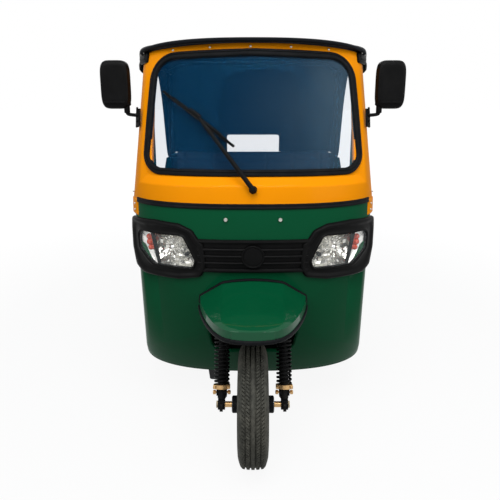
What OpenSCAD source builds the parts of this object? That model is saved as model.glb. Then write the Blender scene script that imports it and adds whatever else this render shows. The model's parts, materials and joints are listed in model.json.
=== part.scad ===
// Enclosed passenger three-wheeler: steel cowl and windscreen frame, canvas hood on a tube frame,
// open sides, one steered front wheel on a leading-link fork and two driven rear wheels.
// Frame: X towards the vehicle's left, Y rearwards, Z up, origin on the ground at mid length and width.
// Stations named ..._s are distances behind the front axle.

/* [Overall] */
// Length from the front tyre to the rear bumper
overall_length = 2650; // [2550:10:2750]
// Width over the rear quarter panels
overall_width = 1300; // [1260:10:1360]
// Height to the crown of the hood
overall_height = 1700; // [1680:10:1760]
// Distance from the rear axle to the rear bumper
rear_overhang = 427.5; // [415:2.5:440]
// Distance of the rear tyres' middles inside the body's sides
tyre_inset = 75; // [70:1:82]
// Height of the underside of the chassis rails
chassis_z = 190; // [170:5:210]

/* [Wheels] */
// Outer diameter of each tyre
tyre_d = 475; // [455:5:485]
// Section width of each tyre
tyre_w = 118; // [100:2:124]
// Seat diameter of the rims
rim_d = 254; // [230:2:270]
// Diameter of the front axle
front_axle_d = 20; // [16:1:24]
// Diameter of the rear half shafts
half_shaft_d = 30; // [24:1:34]

/* [Front body] */
// Width over the cowl at the lamps
cowl_w = 1070; // [1000:10:1100]
// Distance of the cowl's foremost point behind the front axle
cowl_s = 150; // [140:5:165]
// Depth of the cowl from its front to the rear edge of its cheeks
cowl_depth = 330; // [300:5:360]
// Height of the cowl's lower edge
cowl_bottom_z = 180; // [170:5:200]
// Height of the cowl's foremost point
cowl_bulge_z = 830; // [800:5:860]
// Radius of the cowl's curve from top to bottom
cowl_profile_r = 1200; // [1100:10:1400]
// Thickness of the cowl and windscreen frame
cowl_wall = 18; // [14:1:24]
// Place of the belt strip as a share of the height from the mudguard's crown to the header
belt_share = 0.32265; // [0.31:0.0005:0.33]

/* [Windscreen] */
// Angle of the windscreen from upright
screen_lean = 16.5; // [12:0.5:18]
// Place of the screen's lower edge as a share of the height from the mudguard's crown to the header
screen_share = 0.4423; // [0.435:0.0005:0.455]
// Height of the windscreen frame above the screen opening
header_rail = 22; // [18:1:40]
// Width of the screen opening at its lower edge
screen_bottom_w = 930; // [880:5:950]
// Width of the screen opening at its upper edge
screen_top_w = 850; // [800:5:870]
// Width of the windscreen frame beside the screen's upper edge
header_side = 72.5; // [65:0.5:80]
// Drop of the windscreen frame's upper edge below the hood's crown
header_drop = 56; // [50:1:62]
// Width of the rubber round the glass
gasket_w = 27; // [20:1:34]
// Thickness of the glass
glass_t = 5; // [4:0.5:8]

/* [Lamps] */
// Height of the lamp glasses
lamp_h = 130; // [110:2:140]
// Distance of the lamp glasses' inner edge from the middle
lamp_inner_x = 236; // [228:2:246]
// Width of the lamp glasses
lamp_w = 242; // [220:2:250]
// Place of the lamps' middle as a share of the height from the mudguard's crown to the header
lamp_share = 0.1207; // [0.11:0.0005:0.13]
// Height of the grille opening
grille_h = 116; // [90:2:124]
// Number of grille slats
grille_slats = 3; // [2:1:5]
// Distance that the lamp mask stands off the cowl
mask_t = 14; // [10:1:20]

/* [Front suspension] */
// Angle of the steering axis from upright
rake = 22; // [20:0.5:24]
// Distance of the steering axis behind the front axle at axle height
steer_offset = 36; // [30:1:42]
// Distance of the spring legs from the middle
leg_x = 126; // [122:1:132]
// Outer diameter of the coil springs
spring_d = 64; // [54:1:66]
// Diameter of the spring wire
spring_wire_d = 9; // [7:0.5:11]
// Number of turns of each spring
spring_turns = 8; // [6:1:10]

/* [Mudguard] */
// Length of the front mudguard from the cowl to its nose
mudguard_reach = 345; // [320:5:370]
// Width of the front mudguard at the cowl
mudguard_w = 436; // [410:2:450]
// Height of the front mudguard's lower rim
mudguard_rim_z = 588; // [575:1:600]
// Height of the front mudguard's crown above its rim
mudguard_rise = 120; // [105:1:130]

/* [Rear body] */
// Thickness of the rear panels
panel_t = 22; // [16:1:28]
// Height of the upper edge of the rear body
tub_top_z = 1000; // [980:5:1010]
// Height of the lower edge of the rear body
tub_bottom_z = 300; // [290:5:320]
// Distance of the quarter panels' front edge ahead of the rear axle
quarter_ahead = 605; // [590:5:620]
// Radius of the rear body's corners
tub_corner_r = 120; // [100:5:140]
// Gap round the rear hatch
hatch_gap = 6; // [5:0.5:9]
// Depth of the rear bumper behind the tail
bumper_depth = 56; // [48:2:70]

/* [Seats] */
// Height of the passenger seat's board
seat_z = 600; // [590:5:620]
// Thickness of the passenger cushion
cushion_t = 130; // [110:5:140]
// Distance of the passenger seat's ends inside the body's sides
seat_inset = 65; // [55:1:90]
// Height of the top of the passenger backrest
backrest_z = 1068; // [1040:2:1090]
// Height of the driver's seat board
driver_z = 560; // [540:5:580]
// Width of the driver's cushion
driver_w = 520; // [460:10:560]

/* [Hood] */
// Thickness of the hood canvas
hood_t = 6; // [4:0.5:8]
// Station of the hood's front edge in the middle
hood_front_s = 338; // [330:2:346]
// Distance of the hood's front corners inside the windscreen frame's upper corners
hood_front_inset = 15.5; // [10:0.5:25]
// Diameter of the hood and cabin tubes
tube_d = 26; // [22:1:28]
// Place of the posts behind the driver as a share of the wheelbase
post_share = 0.544; // [0.535:0.001:0.55]

/* [Hidden] */
$fa = 4;
$fs = 1.5;
// Overrun of every cut, seat of pieces that touch and running play of shafts
over = 20;
seat = 0.3;
play = 0.06;
// Row places
tyre_r = tyre_d / 2;
wheelbase = overall_length - tyre_r - rear_overhang;
header_z = overall_height - header_drop;
screen_top_z = header_z - header_rail;
mudguard_top_z = mudguard_rim_z + mudguard_rise;
belt_z = mix(mudguard_top_z, header_z, belt_share);
screen_bottom_z = mix(mudguard_top_z, header_z, screen_share);
lamp_z = mix(mudguard_top_z, header_z, lamp_share);
rear_track = overall_width - 2 * tyre_inset;
front_axle_y = -overall_length / 2 + tyre_r;
rear_axle_y = front_axle_y + wheelbase;
quarter_s = wheelbase - quarter_ahead;
post_s = wheelbase * post_share;
tail_y = overall_length / 2 - bumper_depth;
half_w = overall_width / 2;

function at(s) = front_axle_y + s;
function mix(a, b, t) = a + (b - a) * t;
function soft_power(v, e) = sign(v) * pow(abs(v), e);
function spread(a, b, n) = [for (i = [0:n]) mix(a, b, i / n)];
function slice(list, first, last) = [for (i = [first:last]) list[i]];

// Front skin: in plan a superellipse half, in profile one arc up to the sill and a lean above it
plan_power = 2.5;
header_w_share = (screen_top_w / 2 + header_side) / (cowl_w / 2);
bulge_share = 0.079;
skirt_share = 0.04;
header_crown = 30;
sill_shelf = 34;
sill_z = screen_bottom_z - sill_shelf;
sill_run = 36;
belt_h = 22;
belt_t = 6;
pillar_depth = 215;
pillar_angle = asin(pow((cowl_depth - pillar_depth) / cowl_depth, plan_power / 2));
pillar_angles = spread(pillar_angle, 180 - pillar_angle, 22);
cowl_angles = concat(spread(0, pillar_angle, 3), slice(pillar_angles, 1, 21), spread(180 - pillar_angle, 180, 3));
nose_angles = slice(pillar_angles, 7, 15);
lamp_angles = slice(pillar_angles, 0, 9);
cowl_heights = spread(cowl_bottom_z, belt_z, 11);
mask_heights = slice(cowl_heights, 6, 11);
lamp_heights = spread(lamp_z - lamp_h / 2 - over, lamp_z + lamp_h / 2 + over, 3);
screen_heights = spread(screen_bottom_z, header_z, 7);
frame_heights = concat([belt_z + seat, sill_z], screen_heights);

function rise_share(z) = max(0, (z - belt_z) / (header_z - belt_z));
function skirt(z) = max(0, (cowl_bulge_z - z) / (cowl_bulge_z - cowl_bottom_z));
function skin_front(z) =
  at(cowl_s) + cowl_profile_r - sqrt(pow(cowl_profile_r, 2) - pow(min(z, sill_z) - cowl_bulge_z, 2))
  + sill_run * min(1, max(0, (z - sill_z) / (screen_bottom_z - sill_z)))
  + max(0, z - screen_bottom_z) * tan(screen_lean);
function skin_half(z) =
  let (h = rise_share(z))
  cowl_w / 2 * (1 + skirt_share * skirt(z) + bulge_share * h - (1 + bulge_share - header_w_share) * pow(h, 4));
function skin(z, a, out) =
  let (c = soft_power(cos(a), 2 / plan_power), s = soft_power(sin(a), 2 / plan_power))
  [(skin_half(z) + out) * c, skin_front(z) + cowl_depth - (cowl_depth + out) * s,
   z - header_crown * rise_share(z) * c * c];
function skin_grid(heights, angles, out) = [for (z = heights) [for (a = angles) skin(z, a, out)]];
// Distance of the skin behind the front axle line at a height and a distance from the middle
function skin_y(x, z, out) =
  skin_front(z) + cowl_depth
  - (cowl_depth + out) * pow(1 - pow(abs(x) / (skin_half(z) + out), plan_power), 1 / plan_power);
function skin_spot(x, z, out) =
  [x, skin_y(x, z, out), z - header_crown * rise_share(z) * pow(x / skin_half(z), 2)];

// One closed sheet between two grids of points of the same size
module sheet(front, back) {
  r = len(front);
  c = len(front[0]);
  n = r * c;
  grid = [for (i = [0:r - 2]) for (j = [0:c - 2])
    each [[i * c + j, i * c + j + 1, i * c + c + j + 1], [i * c + j, i * c + c + j + 1, i * c + c + j]]];
  rim = concat(
    [for (j = [0:c - 1]) j],
    [for (i = [1:r - 1]) i * c + c - 1],
    [for (j = [1:c - 1]) r * c - 1 - j],
    [for (i = [1:r - 2]) (r - 1 - i) * c]);
  m = len(rim);
  edge = [for (k = [0:m - 1])
    let (a = rim[k], b = rim[(k + 1) % m]) each [[b, a, a + n], [b, a + n, b + n]]];
  polyhedron(
    concat([for (row = front) each row], [for (row = back) each row]),
    concat(grid, [for (f = grid) [f[2] + n, f[1] + n, f[0] + n]], edge));
}

module skin_sheet(heights, angles, outer, inner) {
  sheet(skin_grid(heights, angles, outer), skin_grid(heights, angles, inner));
}

// One closed solid through rings of points of the same count
module rings(list) {
  n = len(list[0]);
  last = (len(list) - 1) * n;
  polyhedron(
    [for (ring = list) each ring],
    concat(
      [[for (k = [0:n - 1]) k]],
      [for (i = [0:len(list) - 2]) for (k = [0:n - 1])
        let (a = i * n + k, b = i * n + (k + 1) % n)
        each [[b, a, a + n], [b, a + n, b + n]]],
      [[for (k = [0:n - 1]) last + n - 1 - k]]));
}

// Corner of an outline rounded to a radius
function corner(a, b, c, r) =
  let (
    u = (a - b) / norm(a - b), v = (c - b) / norm(c - b), half = acos(u * v) / 2,
    mid = b + (u + v) / norm(u + v) * r / sin(half), p = b + u * r / tan(half), q = b + v * r / tan(half),
    from = atan2(p.y - mid.y, p.x - mid.x), turn = atan2(q.y - mid.y, q.x - mid.x) - from,
    sweep = turn > 180 ? turn - 360 : turn < -180 ? turn + 360 : turn)
  [for (k = [0:6]) mid + r * [cos(from + sweep * k / 6), sin(from + sweep * k / 6)]];
function rounded(points, radii) =
  let (n = len(points))
  [for (i = [0:n - 1]) each corner(points[(i + n - 1) % n], points[i], points[(i + 1) % n], radii[i])];

// A front view outline carried along Y, and a side view outline carried along X
module front_prism(y0, y1) {
  translate([0, y1, 0])
    rotate([90, 0, 0])
      linear_extrude(y1 - y0)
        children();
}

module side_prism(x0, x1) {
  translate([x0, 0, 0])
    rotate([90, 0, 90])
      linear_extrude(x1 - x0)
        children();
}

module block(low, high) {
  translate(low)
    cube(high - low);
}

// A round bar between two points
module rod(p, q, d) {
  v = q - p;
  translate(p)
    rotate([0, acos(v.z / norm(v)), atan2(v.y, v.x)])
      cylinder(h = norm(v), d = d);
}

// A bent bar of flats swept through points, its rings turned square to the bends
bar_flats = 14;
function bar_rings(points, d, side) =
  [for (i = [0:len(points) - 1])
    let (
      n = len(points) - 1, v = points[min(i + 1, n)] - points[max(i - 1, 0)], t = v / norm(v),
      e = cross(t, side) / norm(cross(t, side)), f = cross(t, e))
    [for (k = [0:bar_flats - 1])
      points[i] + d / 2 * (e * cos(360 * k / bar_flats) + f * sin(360 * k / bar_flats))]];
module bar(points, d, side) {
  rings(bar_rings(points, d, side));
}

module both_sides() {
  children();
  mirror([1, 0, 0])
    children();
}

// Lies along X from x0 to x1 round an axis at y, z
module across(x0, x1, y, z, d) {
  translate([x0, y, z])
    rotate([0, 90, 0])
      cylinder(h = x1 - x0, d = d);
}

// Windscreen opening, smaller by an inset
screen_low_share = 0.156;
screen_high_share = 0.24;
screen_low_r = (screen_top_z - screen_bottom_z) * screen_low_share;
screen_high_r = (screen_top_z - screen_bottom_z) * screen_high_share;
screen_arch = 14;
screen_crown_share = 6;
module screen_outline(inset) {
  b = screen_bottom_w / 2 - inset;
  t = screen_top_w / 2 - inset;
  low = screen_bottom_z + inset;
  high = screen_top_z - inset;
  side = high - screen_arch;
  polygon(rounded(
    [[-b, low], [b, low], [t, side], [0, high], [-t, side]],
    [screen_low_r - inset, screen_low_r - inset, screen_high_r - inset, screen_high_r * screen_crown_share,
     screen_high_r - inset]));
}

// Lamp glass outline on the left of the vehicle, larger by a margin
lamp_top_share = 0.20;
lamp_tip_share = 0.24;
lamp_heel_share = 0.30;
lamp_waist_share = 0.40;
lamp_corner_r = 24;
module lamp_outline(margin) {
  a = lamp_inner_x - margin;
  b = lamp_inner_x + lamp_w + margin;
  low = lamp_z - lamp_h / 2 - margin;
  high = lamp_z + lamp_h / 2 + margin;
  r = lamp_corner_r + margin;
  polygon(rounded(
    [[b, high], [a + lamp_w * lamp_top_share, high], [a, mix(low, high, lamp_tip_share)],
     [a + r / 2, low], [b - lamp_w * lamp_heel_share, low], [b - r / 4, mix(low, high, lamp_waist_share)]],
    [r, r, r, r / 2, r, r]));
}

mask_rim = 26;
mask_lobe_z = lamp_z + lamp_h / 2 + mask_rim * 2;
mask_low_z = lamp_z - lamp_h / 2 - mask_rim * 2;
grille_half = lamp_inner_x - mask_rim;
grille_bar = 8;
badge_d = 104;
// Corner radii of the mask's outline, in order from the upper right of the grille
mask_radii = [10, 10, 30, 8, 8, 30, 14, 8, 8, 14, 30, 8, 8, 30];
module mask_outline() {
  top = lamp_z + grille_h / 2 + grille_bar;
  low = lamp_z - grille_h / 2 - grille_bar;
  outer = cowl_w / 2 + over;
  polygon(rounded(
    [[-grille_half, top], [grille_half, top], [grille_half + mask_rim * 2, mask_lobe_z - grille_bar],
     [outer, mask_lobe_z], [outer, lamp_z - mask_rim], [outer - mask_rim * 2, mask_low_z],
     [grille_half - grille_bar, mask_low_z], [grille_half - mask_rim, low],
     [mask_rim - grille_half, low], [grille_bar - grille_half, mask_low_z],
     [mask_rim * 2 - outer, mask_low_z], [-outer, lamp_z - mask_rim], [-outer, mask_lobe_z],
     [-grille_half - mask_rim * 2, mask_lobe_z - grille_bar]],
    mask_radii));
}

// Fork opening in the cowl under the mudguard
fork_hole_w = 390;
fork_hole_base = 140;
fork_hole_step = 10;
// columns: height share of the mudguard's crown, width shares at the top and at the foot
fork_hole_shares = [0.72, 0.68, 0.92];
// Corner radii of the fork opening, in order from the upper left
fork_hole_radii = [40, 40, 40, 60, 60, 40];
fork_hole_top_z = mudguard_rim_z + mudguard_rise * fork_hole_shares[0];
fork_hole_low_z = chassis_z + fork_hole_base;
module fork_hole() {
  w = fork_hole_w / 2;
  top = w * fork_hole_shares[1];
  foot = w * fork_hole_shares[2];
  waist = mudguard_rim_z + fork_hole_step;
  polygon(rounded(
    [[-top, fork_hole_top_z], [top, fork_hole_top_z], [w, waist], [foot, fork_hole_low_z],
     [-foot, fork_hole_low_z], [-w, waist]],
    fork_hole_radii));
}

module front_cowl() {
  color("#0b5a35")
    difference() {
      skin_sheet(cowl_heights, cowl_angles, 0, -cowl_wall);
      front_prism(at(0), at(cowl_s + cowl_depth))
        fork_hole();
      both_sides()
        front_prism(at(0), at(cowl_s + cowl_depth))
          lamp_outline(seat);
    }
}

module windscreen_frame() {
  color("#f2a016")
    difference() {
      skin_sheet(frame_heights, pillar_angles, 0, -cowl_wall);
      front_prism(at(0), at(cowl_s + cowl_depth * 2))
        screen_outline(0);
    }
}

module belt_strip() {
  color("#141414")
    skin_sheet([belt_z - belt_h / 2, belt_z + belt_h / 2], pillar_angles, belt_t, seat);
}

gasket_proud = 8;
module windscreen_gasket() {
  color("#161616")
    intersection() {
      skin_sheet(screen_heights, pillar_angles, gasket_proud, -cowl_wall);
      front_prism(at(0), at(cowl_s + cowl_depth * 2))
        difference() {
          screen_outline(seat);
          screen_outline(gasket_w);
        }
    }
}

module windscreen_glass() {
  color("#2b4f86", 0.5)
    intersection() {
      skin_sheet(screen_heights, pillar_angles, -glass_t, -2 * glass_t);
      front_prism(at(0), at(cowl_s + cowl_depth * 2))
        screen_outline(gasket_w + seat);
    }
}

// Wiper: arm's tip, blade's upper end and blade's lower end on the screen
// columns: share of the screen's half width, share of the screen's height
wiper_shares = [[-0.49, 0.484], [-0.79, 0.66], [-0.163, 0.232]];
wiper_drop = 12;
wiper_off = 22;
wiper_arm_d = 9;
blade_d = 12;
wiper_boss_d = 30;
function screen_spot(k) =
  skin_spot(k[0] * screen_bottom_w / 2, mix(screen_bottom_z, screen_top_z, k[1]), wiper_off);
module wiper() {
  spots = [for (k = wiper_shares) screen_spot(k)];
  base = skin_spot(0, sill_z - wiper_drop, seat);
  knee = skin_spot(0, sill_z - wiper_drop, wiper_off);
  color("#101010") {
    difference() {
      rod(base + [0, wiper_boss_d / 2, 0], knee - [0, wiper_boss_d / 2, 0], wiper_boss_d);
      skin_sheet(slice(frame_heights, 0, 2), nose_angles, seat, -2 * cowl_wall);
    }
    rod(knee, spots[0], wiper_arm_d);
    bar([spots[1], spots[0], spots[2]], blade_d, [0, 1, 0]);
  }
}

slat_gap = (grille_h - grille_bar * grille_slats) / (grille_slats + 1);
slat_back = 4;
module lamp_mask() {
  pitch = slat_gap + grille_bar;
  color("#121212") {
    difference() {
      intersection() {
        skin_sheet(mask_heights, pillar_angles, mask_t, seat);
        front_prism(at(0), at(cowl_s + cowl_depth))
          mask_outline();
      }
      both_sides()
        front_prism(at(0), at(cowl_s + cowl_depth))
          lamp_outline(seat);
      intersection() {
        skin_sheet(mask_heights, slice(pillar_angles, 6, 16), mask_t + over, slat_back);
        front_prism(at(0), at(cowl_s + cowl_depth))
          difference() {
            for (i = [0:grille_slats])
              translate([grille_bar - grille_half, lamp_z - grille_h / 2 + i * pitch])
                square([2 * (grille_half - grille_bar), slat_gap]);
            translate([0, lamp_z])
              circle(d = badge_d + grille_bar);
          }
      }
    }
  }
}

bowl_depth = 90;
bowl_t = 5;
module headlamp_bowls() {
  color("#c8ccd0")
    both_sides() {
      difference() {
        intersection() {
          skin_sheet(lamp_heights, lamp_angles, -3 * glass_t, -bowl_depth);
          front_prism(at(0), at(cowl_s + cowl_depth))
            lamp_outline(-seat);
        }
        intersection() {
          skin_sheet(lamp_heights, lamp_angles, over, bowl_t - bowl_depth);
          front_prism(at(0), at(cowl_s + cowl_depth))
            lamp_outline(-bowl_t);
        }
      }
    }
}

module headlamp_lenses() {
  color("#dfe8ee", 0.5)
    both_sides()
      intersection() {
        skin_sheet(lamp_heights, lamp_angles, mask_t - glass_t, -3 * glass_t + seat);
        front_prism(at(0), at(cowl_s + cowl_depth))
          difference() {
            lamp_outline(-seat);
            lamp_outline(-bowl_t);
          }
      }
  color("#dfe8ee", 0.5)
    both_sides()
      intersection() {
        skin_sheet(lamp_heights, lamp_angles, mask_t - glass_t, mask_t - 2 * glass_t);
        front_prism(at(0), at(cowl_s + cowl_depth))
          lamp_outline(-seat);
      }
}

stud_x = 113;
stud_drop = 52;
stud_z = belt_z - stud_drop;
stud_d = 12;
stud_head_d = 22;
stud_head_t = 7;
module plate_studs() {
  y = skin_y(stud_x, stud_z, 0);
  color("#c9c9c9")
    both_sides()
      difference() {
        union() {
          translate([stud_x, y + stud_head_t, stud_z])
            rotate([90, 0, 0])
              cylinder(h = 2 * stud_head_t, d = stud_head_d);
          translate([stud_x, y, stud_z])
            rotate([90, 0, 0])
              cylinder(h = 2 * stud_head_t, d = stud_d);
        }
        skin_sheet(slice(cowl_heights, 9, 11), nose_angles, seat, -2 * cowl_wall);
      }
}

// Front mudguard: sections from the cowl to the nose
// columns: reach share, half width share, crown share
mudguard_shares = [
  [-0.15, 1.00, 1.06], [0.00, 1.00, 1.00], [0.18, 0.98, 0.84], [0.36, 0.93, 0.66], [0.54, 0.86, 0.54],
  [0.70, 0.76, 0.47], [0.83, 0.62, 0.42], [0.92, 0.46, 0.37], [0.98, 0.28, 0.30], [1.00, 0.14, 0.22]];
mudguard_t = 5;
mudguard_root = 20;
mudguard_power = 2.7;
mudguard_angles = spread(0, 180, 18);
function mudguard_arch(row, inset) =
  let (
    y = at(cowl_s + mudguard_root) - row[0] * mudguard_reach + inset * max(0, row[0] * 2 - 1),
    w = max(mudguard_w / 2 * row[1] - inset, mudguard_t / 2), h = mudguard_rise * row[2] - inset)
  [for (a = mudguard_angles)
    [w * soft_power(cos(a), 2 / mudguard_power), y, mudguard_rim_z + h * soft_power(sin(a), 2 / mudguard_power)]];
module mudguard() {
  color("#0b5a35")
    difference() {
      sheet([for (row = mudguard_shares) mudguard_arch(row, 0)],
        [for (row = mudguard_shares) mudguard_arch(row, mudguard_t)]);
      skin_sheet(slice(cowl_heights, 4, 8), nose_angles, seat, -4 * cowl_wall);
    }
}

// Mirrors on brackets at the pillars
mirror_share = 0.72;
mirror_z = mix(screen_bottom_z, screen_top_z, mirror_share);
mirror_off = 45;
mirror_x = skin_half(mirror_z) + mirror_off;
mirror_w = 122;
mirror_h = 200;
mirror_d = 50;
mirror_s = 420;
mirror_drop = 140;
mirror_bracket_z = mirror_z - mirror_drop;
mirror_bracket_h = 66;
mirror_arm_d = 16;
mirror_power = 0.42;
mirror_foot_share = 0.93;
mirror_arm_share = 0.28;
// columns: depth share, size share of the mirror's rings
mirror_shares = [[0, 0.72], [0.10, 0.90], [0.35, 1], [1, 1]];
module mirror_left() {
  translate([mirror_x, at(mirror_s), mirror_z])
    rings([for (k = mirror_shares)
      [for (a = [345:-15:0])
        [mirror_w / 2 * k[1] * soft_power(cos(a), mirror_power), mirror_d * k[0],
         mirror_h / 2 * k[1] * soft_power(sin(a), mirror_power)]]]);
}

module mirrors() {
  foot = skin_spot(skin_half(mirror_bracket_z) * mirror_foot_share, mirror_bracket_z, 0);
  hip = [foot.x + mirror_bracket_h / 2, foot.y, foot.z];
  color("#131313")
    both_sides() {
      mirror_left();
      difference() {
        union() {
          bar([foot + [mirror_arm_d / 2, 0, 0], hip,
            [mirror_x - mirror_w * mirror_arm_share, at(mirror_s) + mirror_d / 2,
             mirror_z - mirror_h / 2 + mirror_arm_d / 2]], mirror_arm_d, [0, 1, 0]);
          translate(foot + [mirror_arm_d / 4, 0, 0])
            cube([mirror_arm_d, mirror_bracket_h / 2, mirror_bracket_h], center = true);
        }
        skin_sheet(slice(frame_heights, 1, 8), slice(pillar_angles, 0, 5), seat, -2 * cowl_wall);
      }
    }
}

// Hood sections from front to rear
// columns: station share, half width share, crown share, drop share, shoulder share
hood_shares = [
  [0.00, 0.00, 0.00, 0.00, 0.42], [0.06, 0.12, 0.25, 0.02, 0.60], [0.16, 0.34, 0.62, 0.05, 0.80],
  [0.30, 0.62, 0.90, 0.07, 1.00], [0.46, 0.85, 1.00, 0.08, 1.00], [0.62, 0.97, 1.00, 0.09, 1.00],
  [0.74, 1.00, 0.95, 0.12, 1.00], [0.785, 1.00, 0.92, 0.42, 1.00], [0.82, 1.00, 0.88, 0.94, 1.00],
  [0.84, 1.00, 0.86, 1.00, 1.00], [0.93, 1.00, 0.70, 1.00, 1.00], [1.00, 1.00, 0.45, 1.00, 1.00]];
hood_hem = 8;
hood_power = 4;
hood_rise = 86;
hood_front_w = screen_top_w + 2 * (header_side - hood_front_inset);
hood_lift = 12;
hood_inset = 18;
hood_front_z = header_z + hood_lift;
hood_rear_w = overall_width - 2 * hood_inset;
hood_bow = 120;
hood_bow_share = 0.25;
hood_lean_share = 0.5;
hood_back_lean = 12;
hood_angles = spread(0, 180, 20);
function hood_half(row) = mix(hood_front_w, hood_rear_w, row[1]) / 2;
function hood_top(row) = mix(hood_front_z, overall_height, row[2]);
function hood_shoulder(row) = hood_top(row) - hood_rise * row[4];
function hood_station(row, x, z) =
  at(mix(hood_front_s, tail_y - front_axle_y, row[0]))
  + hood_bow * max(0, 1 - row[0] / hood_bow_share) * pow(x / hood_half(row), 2)
  - max(0, row[0] - hood_lean_share) / (1 - hood_lean_share) * tan(hood_back_lean) * max(0, z - tub_top_z);
function hood_arch(row, inset) =
  let (
    w = hood_half(row) - inset, shoulder = hood_shoulder(row), top = hood_rise * row[4] - inset,
    low = mix(shoulder - hood_hem, tub_top_z + seat, row[3]),
    line = concat(
      [[w, low], [w, (low + shoulder) / 2]],
      [for (a = hood_angles)
        [w * soft_power(cos(a), 2 / hood_power), shoulder + top * soft_power(sin(a), 2 / hood_power)]],
      [[-w, (low + shoulder) / 2], [-w, low]]))
  [for (p = line) [p.x, hood_station(row, p.x, p.y), p.y]];
module hood() {
  color("#1b1b1d")
    sheet([for (row = hood_shares) hood_arch(row, 0)], [for (row = hood_shares) hood_arch(row, hood_t)]);
}

rear_window_w = 440;
rear_window_h = 150;
rear_window_z = 1075;
hood_last = hood_shares[len(hood_shares) - 1];
module hood_back_plate(w, low, high_inset, t0, t1) {
  shoulder = hood_top(hood_last) - hood_rise;
  lean = tan(hood_back_lean);
  shares = spread(-1, 1, 24);
  grid = function(depth)
    [for (k = spread(0, 1, 3))
      [for (u = shares)
        let (x = w * u, top = shoulder + (hood_rise - high_inset) * pow(1 - pow(abs(u), hood_power), 1 / hood_power),
          z = mix(low, top, k))
        [x, tail_y - lean * (z - tub_top_z) - depth, z]]];
  sheet(grid(t1), grid(t0));
}

module hood_back() {
  w = hood_half(hood_last) - hood_t - seat;
  color("#1b1b1d")
    difference() {
      hood_back_plate(w, tub_top_z + seat, hood_t + seat, 0, hood_t);
      front_prism(at(wheelbase), tail_y + over)
        translate([-rear_window_w / 2, rear_window_z - rear_window_h / 2])
          square([rear_window_w, rear_window_h]);
    }
}

window_t = 2;
module rear_window() {
  w = hood_half(hood_last) - hood_t - seat;
  color("#dfe6ea", 0.5)
    intersection() {
      hood_back_plate(w, tub_top_z + seat, hood_t + seat, hood_t / 2, hood_t / 2 + window_t);
      front_prism(at(wheelbase), tail_y + over)
        translate([seat - rear_window_w / 2, rear_window_z - rear_window_h / 2 + seat])
          square([rear_window_w - 2 * seat, rear_window_h - 2 * seat]);
    }
}

// Hood frame: cross bows at hood rows, side rails through the rail rows
bow_rows = [3, 5, 9];
rail_rows = [2, 3, 4, 5, 6, 7, 8, 9, 10];
rail_inset = 22;
bow_share = 0.77;
bow_knee_share = 0.84;
bow_d = tube_d * bow_share;
function rail_spot(row) =
  let (x = hood_half(row) - hood_t - rail_inset, z = hood_shoulder(row))
  [x, hood_station(row, x, z), z];
rail_foot = skin(header_z - 2 * tube_d, pillar_angle, -cowl_wall - tube_d / 2) + [0, tube_d / 4, 0];
module hood_frame() {
  color("#1e1e1e") {
    both_sides()
      bar(concat([rail_foot], [for (i = rail_rows) rail_spot(hood_shares[i])]), tube_d, [0, 0, 1]);
    for (i = bow_rows) {
      p = rail_spot(hood_shares[i]);
      rise = hood_rise - hood_t - tube_d / 2 - rail_inset;
      x = p.x * bow_knee_share;
      q = [x, hood_station(hood_shares[i], x, p.z + rise), p.z + rise];
      bar([p, q, [-q.x, q.y, q.z], [-p.x, p.y, p.z]], bow_d, [0, 1, 0]);
    }
    both_sides() {
      p = rail_spot(hood_shares[9]);
      rod([p.x, p.y, tub_top_z + seat], p, bow_d);
    }
  }
}

// Clamps that hold the hood's front corners to the windscreen frame
clamp_w = 46;
clamp_h = 52;
clamp_t = 14;
clamp_r = 8;
clamp_drop = 62;
clamp_foot_share = 0.33;
module hood_clamps() {
  z = header_z - clamp_drop;
  x = mix(screen_top_w / 2, skin_half(z), clamp_foot_share);
  color("#161616")
    both_sides()
      intersection() {
        skin_sheet(slice(screen_heights, 5, 7), slice(pillar_angles, 0, 6), clamp_t, seat);
        front_prism(at(0), at(cowl_s + cowl_depth * 2))
          polygon(rounded(
            [[x - clamp_w / 2, z - clamp_h / 2], [x + clamp_w / 2, z - clamp_h / 2],
             [x + clamp_w / 2, z + clamp_h / 2], [x - clamp_w / 2, z + clamp_h / 2]],
            [clamp_r, clamp_r, clamp_r, clamp_r]));
      }
}

// Posts behind the driver with two cross bars
function row_s(row) = mix(hood_front_s, tail_y - front_axle_y, row[0]);
post_row_share = (post_s - row_s(hood_shares[3])) / (row_s(hood_shares[4]) - row_s(hood_shares[3]));
post_head = mix(rail_spot(hood_shares[3]), rail_spot(hood_shares[4]), post_row_share);
post_bar_shares = [0.36, 0.545];
floor_t = 12;
rail_h = 50;
floor_top_z = chassis_z + rail_h + floor_t;
module cabin_posts() {
  x = post_head.x;
  top = post_head.z - tube_d / 2 - seat;
  color("#0b5a35") {
    both_sides()
      rod([x, at(post_s), floor_top_z + seat], [x, at(post_s), top], tube_d);
    for (k = post_bar_shares)
      across(-x, x, at(post_s), mix(floor_top_z, top, k), tube_d);
  }
}

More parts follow.
